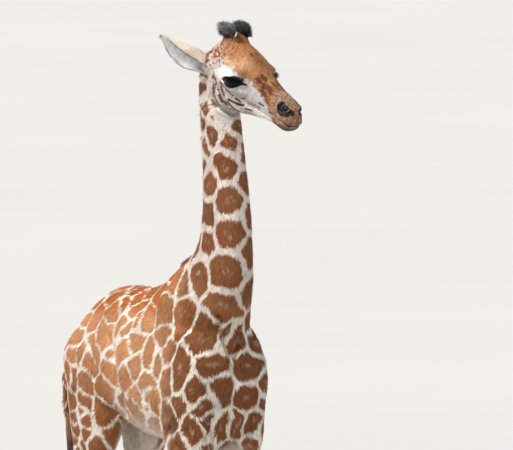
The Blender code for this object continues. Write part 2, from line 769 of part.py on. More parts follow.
def centre_on_floor(nodes):
    """Puts the origin under the middle of the whole animal's box, on the floor."""
    corners = [node.matrix_world @ Vector(c) for node in nodes for c in node.bound_box]
    low = [min(c[i] for c in corners) for i in range(3)]
    high = [max(c[i] for c in corners) for i in range(3)]
    shift = Matrix.Translation((-(low[0] + high[0]) / 2, -(low[1] + high[1]) / 2, -low[2]))
    for node in nodes:
        node.data.transform(shift)
    print("shifted by", [round(v, 4) for v in shift.translation])


all_nodes = build()
paint(all_nodes)
bpy.context.view_layer.update()
centre_on_floor(all_nodes)
print({n.name: sum(len(p.vertices) - 2 for p in n.data.polygons) for n in all_nodes})
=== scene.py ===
# %% [markdown]
# # A giraffe calf, life size
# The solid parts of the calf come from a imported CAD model. This lesson puts one soft skin over them, lays a
# short coat of hair tufts on the skin, and adds eyes, lids, mane, hair and hooves. The CAD nodes stand in their
# true place, and all lengths are in metres unless a cell says millimetres or centimetres.

# %% Load the fixed frame
import contextlib
import math
import bpy
import numpy as np
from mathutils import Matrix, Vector


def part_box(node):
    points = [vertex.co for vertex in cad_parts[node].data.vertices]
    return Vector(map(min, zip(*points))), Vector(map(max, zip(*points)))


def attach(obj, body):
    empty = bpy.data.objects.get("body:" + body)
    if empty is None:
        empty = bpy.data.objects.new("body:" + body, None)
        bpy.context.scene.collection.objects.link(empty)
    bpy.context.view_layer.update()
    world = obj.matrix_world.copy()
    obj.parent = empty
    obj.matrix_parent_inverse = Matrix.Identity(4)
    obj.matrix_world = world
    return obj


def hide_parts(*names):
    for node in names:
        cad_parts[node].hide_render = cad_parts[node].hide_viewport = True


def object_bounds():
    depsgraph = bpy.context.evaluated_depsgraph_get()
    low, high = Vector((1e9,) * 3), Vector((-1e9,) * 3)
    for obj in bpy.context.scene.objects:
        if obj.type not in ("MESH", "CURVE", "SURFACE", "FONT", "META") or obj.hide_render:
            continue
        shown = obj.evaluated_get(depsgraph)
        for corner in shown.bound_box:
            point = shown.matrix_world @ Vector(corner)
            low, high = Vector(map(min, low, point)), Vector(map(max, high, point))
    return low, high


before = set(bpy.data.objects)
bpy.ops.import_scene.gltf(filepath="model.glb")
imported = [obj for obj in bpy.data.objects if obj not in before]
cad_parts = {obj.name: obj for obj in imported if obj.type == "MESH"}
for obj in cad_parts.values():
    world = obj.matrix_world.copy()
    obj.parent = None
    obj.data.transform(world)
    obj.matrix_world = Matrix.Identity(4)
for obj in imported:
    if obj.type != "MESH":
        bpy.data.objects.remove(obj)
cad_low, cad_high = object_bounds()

tall = cad_high[2] - cad_low[2]
print(f"{len(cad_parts)} nodes, {tall:.3f} m tall")

# %% [markdown]
# ## Camera
# A calf seen from a long way off looks flat and true in its proportions, so the camera stands 30 m away with a
# long lens. It looks from the front right, a little above the level of the back, and crops the lower legs.

# %% Set the camera
AIM = Vector((0.2416, 0.0183, 1.3002))
AZIMUTH, ELEVATION, DISTANCE = -30, 6, 30.0
FIELD, SENSOR = 1.2900, 36       # width of what is seen at the calf, and the film's width in millimetres


def direction(azimuth, elevation):
    """The way from the calf to a camera or a lamp, in degrees; 0 is straight in front of it."""
    a, e = math.radians(azimuth), math.radians(elevation)
    return Vector((math.sin(a) * math.cos(e), -math.cos(a) * math.cos(e), math.sin(e)))


towards = direction(AZIMUTH, ELEVATION)
bpy.ops.object.camera_add(location=AIM + towards * DISTANCE)
camera = bpy.context.object
camera.rotation_mode = "QUATERNION"
camera.rotation_quaternion = (-towards).to_track_quat("-Z", "Y")
camera.data.sensor_width = SENSOR
camera.data.lens = SENSOR * DISTANCE / FIELD
camera.data.clip_end = 200
bpy.context.scene.camera = camera
print(f"lens {camera.data.lens:.0f} mm")

# %% [markdown]
# ## Light and floor
# Soft studio light has no hard edge. A sun whose disc is widened to tens of degrees acts as a very large soft
# box, and it lights the floor evenly all the way back. The key comes from the calf's right and from above, a
# weaker one fills its chest, and a pale world lifts the shade.

# %% Add the lights
COOL = (0.93, 0.96, 1.0)


def soft_sun(name, source, strength, width, colour):
    """A sun that shines from a direction, with a disc that is so many degrees wide."""
    bpy.ops.object.light_add(type="SUN", location=source * 6)
    lamp = bpy.context.object
    lamp.name = name
    lamp.rotation_mode = "QUATERNION"
    lamp.rotation_quaternion = source.to_track_quat("Z", "Y")
    lamp.data.energy = strength
    lamp.data.angle = math.radians(width)
    lamp.data.color = colour


soft_sun("key", direction(-88, 50), 4.4, 20, (1.0, 0.97, 0.93))
soft_sun("fill", direction(25, 30), 0.6, 60, COOL)
world = bpy.data.worlds.new("studio")
bpy.context.scene.world = world
world.use_nodes = True
background = world.node_tree.nodes["Background"]
background.inputs["Color"].default_value = (*COOL, 1)
background.inputs["Strength"].default_value = 0.55
bpy.context.scene.view_settings.view_transform = "Standard"
print("two suns and a pale world")

# %% [markdown]
# A finish is a small tree of nodes. One helper adds any node: it sets what the node is told, feeds its inputs
# with numbers, colours or other nodes' outputs, and gives back one output. The others below are short names for
# the nodes that come again and again.

# %% Short names for nodes
def new_finish(name):
    """A new material, its tree of nodes, and the sockets of its surface."""
    made = bpy.data.materials.new(name)
    made.use_nodes = True
    return made, made.node_tree, made.node_tree.nodes["Principled BSDF"].inputs


def feed(tree, socket, value):
    if isinstance(value, bpy.types.NodeSocket):
        tree.links.new(value, socket)
    else:
        socket.default_value = value


def add_node(tree, kind, result, inputs=None, **settings):
    node = tree.nodes.new("ShaderNode" + kind)
    for key, value in settings.items():
        setattr(node, key, value)
    for socket, value in (inputs or {}).items():
        feed(tree, node.inputs[socket], value)
    return node.outputs[result]


def place_in(tree):
    return add_node(tree, "TexCoord", "Object")


def noise(tree, place, scale, detail=2.0):
    return add_node(tree, "TexNoise", "Fac", {"Scale": scale, "Detail": detail, "Vector": place})


def arithmetic(tree, kind, *values):
    return add_node(tree, "Math", 0, dict(enumerate(values)), operation=kind)


def between(tree, value, low, high, out_low=0.0, out_high=1.0):
    """Stretches low to high over out_low to out_high."""
    return add_node(tree, "MapRange", "Result", {
        "From Min": low, "From Max": high, "To Min": out_low, "To Max": out_high, "Value": value})


def blend(tree, share, first, second, kind="MIX"):
    return add_node(tree, "Mix", 2, {0: share, 6: first, 7: second}, data_type="RGBA", blend_type=kind)


def layer(tree, name, result="Fac"):
    return add_node(tree, "Attribute", result, attribute_name=name)


def shaded(tree, colour, light):
    """A colour made darker or lighter by one number."""
    grey = add_node(tree, "CombineColor", 0, {0: light, 1: light, 2: light})
    return blend(tree, 1.0, colour, grey, "MULTIPLY")


def roughen(tree, surface, height, strength, distance):
    bump = add_node(tree, "Bump", "Normal", {"Strength": strength, "Distance": distance, "Height": height})
    feed(tree, surface["Normal"], bump)


print("helpers for finishes ready")

# %% [markdown]
# The floor is one broad disc of pale painted plaster. It has to reach far behind the calf, because a camera
# that looks down by only a few degrees sees a long way over it.

# %% Lay the floor
bpy.ops.mesh.primitive_circle_add(vertices=96, radius=90, fill_type="NGON", location=(0, 0, 0))
floor = bpy.context.object
floor.name = "floor"
plaster, tree, surface = new_finish("pale_plaster")
feed(tree, surface["Roughness"], 0.9)
ramp = tree.nodes.new("ShaderNodeValToRGB")
ramp.color_ramp.elements[0].color = (0.50, 0.49, 0.47, 1)
ramp.color_ramp.elements[1].color = (0.55, 0.54, 0.52, 1)
feed(tree, ramp.inputs["Fac"], noise(tree, place_in(tree), 0.7))
feed(tree, surface["Base Color"], ramp.outputs["Color"])
floor.data.materials.append(plaster)
print("floor laid")

# %% [markdown]
# ## Directions on the head
# The head is turned and hangs a little, so its details are easiest to place in its own directions: towards the
# nose, towards the animal's left, and towards the crown, measured from midway between the eyes. The two eyeballs
# of the CAD give that point and the turn.

# %% Find the head's own directions
def middle(node):
    low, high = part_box(node)
    return np.array((low + high) / 2)


def unit(v):
    v = np.asarray(v, float)
    return v / np.maximum(np.linalg.norm(v, axis=-1, keepdims=True), 1e-12)


DROOP, SLANT = math.radians(23), math.radians(19)
UP = np.array((0.0, 0.0, 1.0))
MIDLINE = middle("mane")[0]      # the body's own middle, from side to side
BETWEEN_EYES = (middle("eye_right") + middle("eye_left")) / 2
LEFTWARD = unit((middle("eye_left") - middle("eye_right")) * (1, 1, 0))
HEADING = np.array((LEFTWARD[1], -LEFTWARD[0], 0))
NOSEWARD = HEADING * math.cos(DROOP) - UP * math.sin(DROOP)
CROWNWARD = HEADING * math.sin(DROOP) + UP * math.cos(DROOP)
EYE_LINE = NOSEWARD * math.cos(SLANT) + CROWNWARD * math.sin(SLANT)
EYE_UP = CROWNWARD * math.cos(SLANT) - NOSEWARD * math.sin(SLANT)
print("between the eyes:", BETWEEN_EYES.round(3), "heading:", HEADING.round(3))


def head_place(points):
    """Points as (towards nose, towards left, towards crown)."""
    return (points - BETWEEN_EYES) @ np.stack([NOSEWARD, LEFTWARD, CROWNWARD], 1)


def face_place(points):
    """(Towards nose, outwards, towards crown) in millimetres, the same for both sides of the face."""
    nose, left, crown = head_place(points).T
    return np.stack([nose, np.abs(left), crown], 1) * 1000


def body_place(points):
    """(Outwards, back, up), the same for both sides of the body."""
    return np.stack([np.abs(points[:, 0] - MIDLINE), points[:, 1], points[:, 2]], 1)


def on_head(nose, left, crown):
    return BETWEEN_EYES + NOSEWARD * nose + LEFTWARD * left + CROWNWARD * crown


# %% [markdown]
# ## One skin
# A real calf has one skin from nose to hoof. The CAD parts it into named solids, so copies of the soft ones are
# joined, swollen by less than a millimetre so that their thin cuts close, and fused with a voxel remesh. The
# eyeballs are fused in too, which closes the sockets; the lids are opened later.

# %% Join copies of the soft solids
WELD, SWELL, GRAIN = 0.00001, 0.0008, 0.0062     # points merged, the swelling, and the remesh's voxels


def select_only(*pieces):
    """Selects these pieces and makes the first one active."""
    bpy.ops.object.select_all(action="DESELECT")
    for piece in pieces:
        piece.select_set(True)
    bpy.context.view_layer.objects.active = pieces[0]


@contextlib.contextmanager
def editing(piece):
    """Edit mode on one piece, with all of it selected."""
    select_only(piece)
    bpy.ops.object.mode_set(mode="EDIT")
    bpy.ops.mesh.select_all(action="SELECT")
    yield
    bpy.ops.object.mode_set(mode="OBJECT")


def set_down(name, mesh):
    """An object at the origin that shows a mesh."""
    piece = bpy.data.objects.new(name, mesh)
    bpy.context.collection.objects.link(piece)
    return piece


SOFT = [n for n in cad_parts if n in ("head", "lower_jaw", "neck", "trunk", "tail")
        or n.startswith(("forearm", "fore_", "thigh", "hind_", "ossicone_right", "ossicone_left"))]
copies = [set_down("soft_" + name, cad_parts[name].data.copy())
          for name in SOFT + ["eye_right", "eye_left"]]
select_only(*copies)
bpy.ops.object.join()
skin = bpy.context.object
skin.name = "skin"
skin.data.materials.clear()
with editing(skin):
    bpy.ops.mesh.remove_doubles(threshold=WELD)
    bpy.ops.transform.shrink_fatten(value=SWELL)
print(f"{len(SOFT)} soft solids joined")

# %% Fuse them and keep the one outer shell
def apply_modifier(piece, kind, **settings):
    select_only(piece)
    modifier = piece.modifiers.new(kind.lower(), kind)
    for key, value in settings.items():
        setattr(modifier, key, value)
    bpy.ops.object.modifier_apply(modifier=modifier.name)


def keep_largest(piece):
    """Parts a mesh into its shells and keeps the biggest."""
    select_only(piece)
    bpy.ops.mesh.separate(type="LOOSE")
    shells = sorted(bpy.context.selected_objects, key=lambda o: len(o.data.vertices))
    for scrap in shells[:-1]:
        bpy.data.objects.remove(scrap)
    return shells[-1]


apply_modifier(skin, "REMESH", mode="VOXEL", voxel_size=GRAIN)
skin = keep_largest(skin)
skin.name = "skin"
bpy.context.view_layer.objects.active = skin
print(f"skin: {len(skin.data.polygons)} faces")

# %% [markdown]
# ## Smoothing without shrinking
# The solids have flat facets, and a hide has none. Moving each point towards the middle of its neighbours melts
# the facets, but it also shrinks the body. So each pull is followed by a slightly stronger push the other way,
# which keeps broad forms and loses only small ones.

# %% Read, smooth and write a mesh
def points_of(piece):
    co = np.empty(len(piece.data.vertices) * 3, np.float32)
    piece.data.vertices.foreach_get("co", co)
    return co.reshape(-1, 3).astype(float)


def normals_of(piece):
    co = np.empty(len(piece.data.vertices) * 3, np.float32)
    piece.data.vertex_normals.foreach_get("vector", co)
    return co.reshape(-1, 3).astype(float)


def put_points(piece, points):
    piece.data.vertices.foreach_set("co", np.asarray(points, np.float32).ravel())
    piece.data.update()


def edges_of(piece):
    ends = np.empty(len(piece.data.edges) * 2, np.int32)
    piece.data.edges.foreach_get("vertices", ends)
    return ends.reshape(-1, 2)


def neighbour_mean(values, ends, count):
    """The mean of each point's neighbours."""
    a, b = ends[:, 0], ends[:, 1]
    share = np.bincount(a, minlength=count) + np.bincount(b, minlength=count)
    total = [np.bincount(a, values[b, k], count) + np.bincount(b, values[a, k], count)
             for k in range(values.shape[1])]
    return np.stack(total, 1) / np.maximum(share, 1)[:, None]


def smooth(points, ends, rounds, where=1.0, pull=0.60, push=0.63):
    """Pulls points to their neighbours' mean and pushes them back, where the mask is above zero."""
    where = np.broadcast_to(np.asarray(where, float), (len(points),))
    used = np.zeros(len(points), bool)
    moving = where[ends].max(1) > 0
    used[ends[moving].ravel()] = True
    local = np.cumsum(used) - 1
    ends, part, where = local[ends[moving]], points[used], where[used][:, None]
    for step in (pull, -push) * rounds:
        if step:
            part = part + where * step * (neighbour_mean(part, ends, len(part)) - part)
    points = points.copy()
    points[used] = part
    return points


print("smoothing ready")

# %% [markdown]
# Much below is said with soft masks, which are numbers from 0 to 1 at each point. Four helpers make them: one
# that rises, one that falls, a band between two places, and a round spot.

# %% Soft masks, and the first smoothing
def rise(values, start, end):
    """0 before start, 1 after end, and smooth between."""
    t = np.clip((values - start) / (end - start), 0, 1)
    return t * t * (3 - 2 * t)


def fall(values, start, end):
    return 1 - rise(values, start, end)


def band(values, start, full, fade, end):
    """1 from full to fade, and 0 before start and after end."""
    return rise(values, start, full) * fall(values, fade, end)


def bell(*rows):
    """A round spot; a row is the values, the peak and the half width in one direction."""
    return np.exp(-sum(((values - peak) / width) ** 2 for values, peak, width in rows))


def head_share_of(points):
    """1 on the head, 0 on the body, and soft behind the jaw."""
    nose, _, crown = head_place(points).T
    edge = (nose + 0.13) * 0.868 + (crown - 0.03) * 0.496
    muzzle = rise(nose, 0.06, 0.09) * rise(crown, -0.10, -0.08)
    return rise(edge, -0.012, 0.012) * np.maximum(rise(points[:, 2], 1.58, 1.62), muzzle)


points, ends = points_of(skin), edges_of(skin)
head_share = head_share_of(points)
softness = (1 - 0.72 * head_share) * (1 - 0.55 * fall(points[:, 2], 0.66, 0.80))
points = smooth(points, ends, 26, softness)
put_points(skin, points)
print(f"{len(points)} points smoothed, {int((head_share > 0.5).sum())} on the head")

# %% [markdown]
# The face has forms of a few millimetres, and the body none so small. The mesh is made finer only where they
# are: once over the head, and once more around the eyes, the nostrils and the mouth.

# %% Make the face finer
def refine(piece, chosen, rounds):
    """Subdivides the faces whose points are all chosen, then rounds off what was chosen or added."""
    select_only(piece)
    bpy.ops.object.mode_set(mode="EDIT")
    bpy.ops.mesh.select_mode(type="VERT")
    bpy.ops.mesh.select_all(action="DESELECT")
    bpy.ops.object.mode_set(mode="OBJECT")
    piece.data.vertices.foreach_set("select", chosen)
    bpy.ops.object.mode_set(mode="EDIT")
    bpy.ops.mesh.select_mode(type="FACE")
    bpy.ops.mesh.subdivide(number_cuts=1)
    bpy.ops.object.mode_set(mode="OBJECT")
    new = points_of(piece)
    near = np.ones(len(new))
    near[:len(chosen)] = chosen
    put_points(piece, smooth(new, edges_of(piece), rounds, near))


def face_features(points):
    """True near the eyes, nostrils and mouth."""
    nose, left, crown = head_place(points).T
    out = np.abs(left)
    eye = np.linalg.norm(np.stack([nose / 1.3, out - 0.055, crown * 1.15], 1), axis=1) < 0.040
    nostril = np.linalg.norm(np.stack([nose - 0.162, out - 0.028, crown - 0.002], 1), axis=1) < 0.026
    mouth = (nose > 0.112) & (np.abs(crown + 0.030) < 0.013) & (out > 0.002)
    return (eye & (out > 0.03)) | nostril | mouth


nose, _, crown = head_place(points).T
refine(skin, (nose > -0.155) & (crown > -0.13) & (head_share > 0.4), 5)
refine(skin, face_features(points_of(skin)), 4)
print(f"skin: {len(skin.data.polygons)} faces, {len(skin.data.vertices)} points")

# %% [markdown]
# ## The hide lies under the hair
# The solids reach to the tips of the coat. The skin lies inside them by the depth of the hair: three millimetres
# on the body, less on the legs, and hardly one on the face. The swelling from before is taken off with it.

# %% Sink the skin by the depth of the coat
def coat_depth(points):
    return 0.0030 - 0.0018 * head_share_of(points) - 0.0014 * fall(points[:, 2], 0.45, 0.75)


points = points_of(skin)
deep = coat_depth(points)
put_points(skin, points - normals_of(skin) * (deep + SWELL)[:, None])
print(f"skin sunk by {deep.min() * 1000:.1f} to {deep.max() * 1000:.1f} mm")

# %% [markdown]
# ## Folds, hollows and ridges
# A sculptor raises and lowers the clay along strokes. Here a stroke is a line through named places, with a width
# and a height: points near the line move out, or in if the height is negative, and the effect fades to the
# sides. The places are first laid on the skin. Each stroke is made once and used on both sides of the animal.

# %% Strokes on the head, in millimetres
HEAD_STROKES = [  # (towards nose, outwards, towards crown) along the stroke, width, height
    ([(-38, 56, 27), (-8, 61, 31), (20, 55, 27)], 6, 1.5),               # bony brow over the eye
    ([(-70, 50, 30), (-48, 52, 34), (-26, 50, 42)], 11, -2.0),           # hollow of the temple
    ([(24, 54, -22), (50, 42, -22), (82, 34, -20)], 7, 1.4),             # crest along the cheek
    ([(30, 47, 14), (58, 34, 14), (96, 28, 6)], 9, -1.3),                # hollow before the eye
    ([(-12, 50, -44), (22, 44, -46), (60, 36, -42)], 10, -1.2),          # hollow over the jaw's edge
    ([(-80, 48, -40), (-58, 52, -64), (-30, 50, -80)], 13, 2.0),         # round of the jaw
    ([(-84, 46, -14), (-72, 50, -38), (-55, 50, -62), (-33, 44, -80), (-12, 30, -90)], 3.6, -2.5),
    ([(-66, 54, -26), (-52, 54, -46), (-30, 51, -63), (-10, 42, -76), (16, 28, -82)], 3.2, -2.2),
    ([(-48, 56, -26), (-28, 53, -44), (-8, 48, -57), (16, 40, -66), (38, 30, -70)], 2.8, -1.8),
    ([(-98, 40, -24), (-89, 44, -50), (-74, 44, -76), (-52, 36, -96)], 4.0, -2.5),     # four folds by the jaw
    ([(-30, 44, -86), (0, 36, -84), (28, 30, -76)], 12, 4.2),            # loose skin under the throat
    ([(-60, 50, -54), (-36, 50, -70)], 5, 1.4),
    ([(118, 31, -27), (139, 33, -29), (158, 33, -30), (177, 30, -31), (190, 20, -33), (197, 0, -33)],
     1.9, -2.7),                                                         # mouth
    ([(120, 31, -21), (150, 33, -22), (176, 29, -24), (190, 16, -26), (195, 0, -27)], 4.5, 1.3),   # upper lip
    ([(150, 22, -41), (172, 20, -42), (188, 10, -42), (192, 0, -42)], 5.0, 1.0),                   # lower lip
    ([(128, 32, -27), (122, 32, -20), (118, 31, -12)], 2.5, -0.8),       # crease at the mouth's corner
    ([(192, 0, -6), (197, 0, -18), (197, 0, -26)], 2.4, -1.2),           # groove under the nose
    ([(147, 28, 14), (144, 32, 2), (150, 34, -10), (164, 34, -14)], 3.5, 1.8),      # wing of the nostril
    ([(154, 26, 10), (152, 31, 2), (158, 33, -5), (169, 32, -7), (179, 28, -4), (184, 22, 0)], 2.6, -4.6),
    ([(161, 27, 7), (167, 30, 1), (175, 28, 1)], 2.6, -3.2),             # inner hollow of the nostril
    ([(180, 14, 4), (184, 10, -6)], 5, 0.8),                             # pad between the nostrils
    ([(-86, 22, 50), (-60, 20, 62), (-30, 10, 66)], 10, 1.0),            # foot of the horn
]
print(len(HEAD_STROKES), "strokes on the head")

# %% Strokes on the body, in metres
BODY_STROKES = [  # (outwards, back, up) along the stroke, width, height
    ([(0.112, 0.165, 1.030), (0.125, 0.116, 1.000), (0.132, 0.090, 0.950), (0.120, 0.080, 0.900)],
     0.013, -0.0042),
    ([(0.120, 0.080, 0.900), (0.116, 0.084, 0.867), (0.099, 0.101, 0.835)], 0.012, -0.0095),  # thigh from flank
    ([(0.134, 0.142, 0.960), (0.128, 0.153, 0.896)], 0.040, 0.0036),                          # thigh's bulge
    ([(0.057, -0.150, 1.220), (0.088, -0.135, 1.129), (0.102, -0.108, 1.029), (0.114, -0.086, 0.930),
      (0.101, -0.060, 0.846)], 0.022, -0.0042),                                         # shoulder's rear edge
    ([(0.081, -0.189, 1.149), (0.101, -0.200, 1.050), (0.105, -0.246, 0.961)], 0.030, 0.0028),
    ([(0.050, -0.249, 1.084), (0.090, -0.238, 1.013)], 0.015, -0.0034),                 # neck from shoulder
    ([(0.000, -0.282, 1.120), (0.000, -0.261, 1.050), (0.000, -0.265, 0.980), (0.000, -0.264, 0.900),
      (0.000, -0.260, 0.840), (0.000, -0.231, 0.798)], 0.010, -0.0058),                 # groove of the breast
    ([(0.042, -0.264, 1.110), (0.026, -0.257, 1.060), (0.004, -0.262, 1.005)], 0.008, -0.0062),  # neck's end
    ([(0.014, -0.276, 1.105), (0.006, -0.262, 1.050)], 0.012, 0.0026),
    ([(0.066, -0.261, 0.875), (0.061, -0.257, 0.833), (0.052, -0.250, 0.800)], 0.014, -0.0035),
    ([(0.110, -0.115, 0.850), (0.113, -0.160, 0.799), (0.105, -0.203, 0.767)], 0.013, -0.0042),  # elbow's fold
    ([(0.069, 0.200, 1.111), (0.093, 0.216, 1.079)], 0.018, 0.0040),                    # point of the hip
    ([(0.078, 0.356, 1.037), (0.090, 0.358, 1.010)], 0.020, 0.0028),                    # seat bone
    ([(0.030, 0.402, 0.960), (0.026, 0.399, 0.910), (0.020, 0.350, 0.880)], 0.012, -0.0036),
    ([(0.050, -0.268, 1.190), (0.036, -0.296, 1.300), (0.031, -0.287, 1.420), (0.029, -0.267, 1.520)],
     0.009, -0.0016),                                                                   # windpipe's edge
]
print(len(BODY_STROKES), "strokes on the body")

# %% [markdown]
# The eye's opening has to be known before the clay is worked, because the mesh is made finest along its edge,
# round the nostrils' slits and along the mouth. The opening is nearly straight above and hangs in a curve below.

# %% Measure the eye's opening, refine and sculpt
EYE_HALF_LENGTH, EYE_RADIUS = 0.0355, 0.0265
EYE_BACK, EYE_DROP = 0.0050, 0.0074              # from the middle of the solid's round eye
OPEN_HALF, UPPER_RISE, LOWER_DROP = 0.0345, 0.0100, 0.0128
EYE_OUT = np.linalg.norm(middle("eye_left") - middle("eye_right")) / 2
FAR_OFF, HEAD_REACH, DEEP_GROOVE = 999.0, 290, -2.6      # millimetres


def eye_middle(side):
    return BETWEEN_EYES + LEFTWARD * side * EYE_OUT - NOSEWARD * EYE_BACK - CROWNWARD * EYE_DROP


def eye_place(points, side):
    """(along the eye, up across it, outwards), from the eyeball's middle."""
    offset = points - eye_middle(side)
    return offset @ EYE_LINE, offset @ EYE_UP, offset @ LEFTWARD * side


def opening_distance(along, up):
    """Distance outside the lids' edge; negative where the eyeball shows."""
    inside = np.clip(1 - (np.abs(along) / OPEN_HALF) ** 2, 0, 1)
    upper, lower = UPPER_RISE * inside ** 0.62, -LOWER_DROP * inside ** 0.85
    past = np.maximum(np.abs(along) - OPEN_HALF, 0)
    outside = np.maximum(up - upper, lower - up)
    return np.where(past > 0, np.hypot(past, np.maximum(outside, 0)), outside * 0.96)


def distance_to_line(points, line):
    """The distance from each point to a line through several places."""
    best = np.full(len(points), FAR_OFF)
    for start, stop in zip(line[:-1], line[1:]):
        run = stop - start
        share = np.clip((points - start) @ run / (run @ run), 0, 1)
        best = np.minimum(best, np.linalg.norm(points - start - share[:, None] * run, axis=1))
    return best


def laid_on(places, line):
    """The skin's own points that lie nearest to the named ones."""
    return np.array([places[((places - place) ** 2).sum(1).argmin()] for place in np.array(line, float)])


def stroke(places, line, width, height):
    """How far points move out along a stroke."""
    return height * bell((distance_to_line(places, laid_on(places, line)), 0, width))


def near_openings(points):
    """True in a narrow band along the lids' edges and along the deep grooves of the face."""
    close = np.zeros(len(points), bool)
    for side in (-1, 1):
        along, up, out = eye_place(points, side)
        close |= (np.abs(opening_distance(along, up)) < 0.0045) & (out > 0)
    places = face_place(points)
    for line, _, height in HEAD_STROKES:
        if height < DEEP_GROOVE:
            close |= distance_to_line(places, laid_on(places, line)) < (5 if height < -3 else 3)
    return close


def sculpt(points, directions):
    move = np.zeros(len(points))
    face, body = face_place(points), body_place(points)
    near = np.linalg.norm(face, axis=1) < HEAD_REACH
    for line, width, height in HEAD_STROKES:
        move[near] += stroke(face[near], line, width, height) / 1000
    for line, width, height in BODY_STROKES:
        move += stroke(body, line, width, height)
    return points + directions * move[:, None]


refine(skin, near_openings(points_of(skin)), 2)
put_points(skin, sculpt(points_of(skin), normals_of(skin)))
print(f"skin sculpted, {len(skin.data.vertices)} points")

# %% [markdown]
# ## Eyelids
# The eye is an egg lying along the head, and the lids are hide stretched over it. So the hide around the eye is
# first relaxed to a plain swelling, then laid a lid's thickness over the egg, and inside the opening it drops
# behind the eyeball's face. The points next to the opening slide onto its edge, which makes a clean lid margin.

# %% Open the lids
LID, BEHIND, KEEN = 0.0020, 0.0045, 0.0016       # thickness, drop behind the eyeball's face, sharpness


def eyeball_face(along, up):
    inside = 1 - (along / EYE_HALF_LENGTH) ** 2 - (up / EYE_RADIUS) ** 2
    return EYE_RADIUS * np.sqrt(np.maximum(inside, 0.03)), inside


def open_lids(points, ends, side):
    along, up, out = eye_place(points, side)
    zone = fall(opening_distance(along, up), 0.012, 0.024) * (out > -0.012) * (np.abs(up) < 0.06)
    points = smooth(points, ends, 70, zone, 0.6, 0.0)
    along, up, out = eye_place(points, side)
    gap = opening_distance(along, up)
    zone = (gap < 0.030) & (out > -0.012)
    slide = zone & (np.abs(gap) < 0.0008)
    step = 0.0002
    grad_a = (opening_distance(along + step, up) - gap) / step
    grad_u = (opening_distance(along, up + step) - gap) / step
    size = np.maximum(grad_a ** 2 + grad_u ** 2, 0.2)
    along = np.where(slide, along - gap * grad_a / size, along)
    up = np.where(slide, up - gap * grad_u / size, up)
    gap = opening_distance(along, up)
    face, inside = eyeball_face(along, up)
    above = rise(up, -0.004, 0.006)
    lid = face + LID + 0.0014 * above + 0.0010 * rise(gap, 0, 0.004)
    lid -= 0.0011 * fall(gap, 0, 0.0014)                         # rounded margin
    lid -= 0.0016 * above * bell((gap, 0.0085, 0.0016))          # fold of the upper lid
    lid += 0.0008 * above * bell((gap, 0.0120, 0.0026))
    lid -= 0.0009 * (1 - above) * bell((gap, 0.0070, 0.0018))    # crease under the lower lid
    lid = np.where(inside > 0.05, lid, -1.0)
    blended = np.maximum(out, lid) + KEEN * np.exp(-np.abs(out - lid) / KEEN) * 0.5
    blended -= 0.0018 * bell((along, 0.043, 0.006), (up, -0.002, 0.0022))            # tear corner
    blended -= 0.0012 * bell((along, -0.043, 0.006), (up, 0.001, 0.0022))
    new_out = np.where(gap < -0.0002, np.minimum(face - BEHIND, lid), blended)
    fresh = (eye_middle(side) + along[:, None] * EYE_LINE + up[:, None] * EYE_UP
             + new_out[:, None] * LEFTWARD * side)
    return np.where(zone[:, None], fresh, points)


points, ends = points_of(skin), edges_of(skin)
for side in (-1, 1):
    points = open_lids(points, ends, side)
put_points(skin, points)
select_only(skin)
bpy.ops.object.shade_smooth()
print("lids opened,", round(2000 * OPEN_HALF), "mm from corner to corner")

# %% [markdown]
# ## Eyes
# A giraffe's eye is nearly all dark: a brown-black iris with a wide pupil lying level, under a clear wet cornea.
# Each is a fine sphere stretched to an egg that fills the lids, and its gloss comes from the shader's clear coat.

# %% Make the eyeballs
EYE_PLAY = 0.0003        # the ball stays this far inside the egg that the lids are laid over


def eyeball(name, node, side):
    bpy.ops.object.select_all(action="DESELECT")
    bpy.ops.mesh.primitive_uv_sphere_add(segments=64, ring_count=40, radius=1, location=(0, 0, 0))
    ball = bpy.context.object
    ball.name = name
    width = EYE_RADIUS - EYE_PLAY
    egg = np.stack([EYE_LINE * (EYE_HALF_LENGTH - EYE_PLAY), EYE_UP * width, LEFTWARD * side * width])
    put_points(ball, eye_middle(side) + points_of(ball) @ egg)
    with editing(ball):
        bpy.ops.mesh.normals_make_consistent(inside=False)
    bpy.ops.object.shade_smooth()
    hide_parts(node)
    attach(ball, "root")
    return ball


eyeballs = [eyeball("eye_of_the_right", "eye_right", -1), eyeball("eye_of_the_left", "eye_left", 1)]
print("two eyes,", round(EYE_HALF_LENGTH * 2000), "mm long")

# %% [markdown]
# ## Ears
# A giraffe's ear is a leaf rolled round its upper edge and open below and in front, with a tube at its root. It
# is far thinner than the grain of the remesh, so it is drawn as rows round the roll, from root to tip, and
# joined to the skin as part of the same piece. Each point remembers how far along and round the ear it is, and
# whether it is inside, because the hair differs there.

# %% Roll the ears
EAR_LENGTH = 0.134
EAR_LEAN = {-1: (0.74, 0.37, 0.53), 1: (0.70, 0.52, 0.46)}       # outwards, back, up
EAR_AXIS = {side: unit(LEFTWARD * side * outwards - HEADING * back + UP * up)
            for side, (outwards, back, up) in EAR_LEAN.items()}
EAR_ROWS = np.array([  # share of the length, half height, half depth, the roll's two edges in degrees, wall
    (-0.16, 0.0190, 0.0130, -176, 110, 0.0050), (0.05, 0.0255, 0.0150, -174, 80, 0.0042),
    (0.22, 0.0310, 0.0165, -172, 66, 0.0034), (0.42, 0.0310, 0.0160, -168, 56, 0.0028),
    (0.62, 0.0245, 0.0130, -156, 48, 0.0025), (0.80, 0.0160, 0.0090, -142, 36, 0.0022),
    (0.93, 0.0080, 0.0050, -128, 32, 0.0018), (1.00, 0.0012, 0.0012, -118, 30, 0.0008)])
LENGTHWISE, AROUND = 44, 26


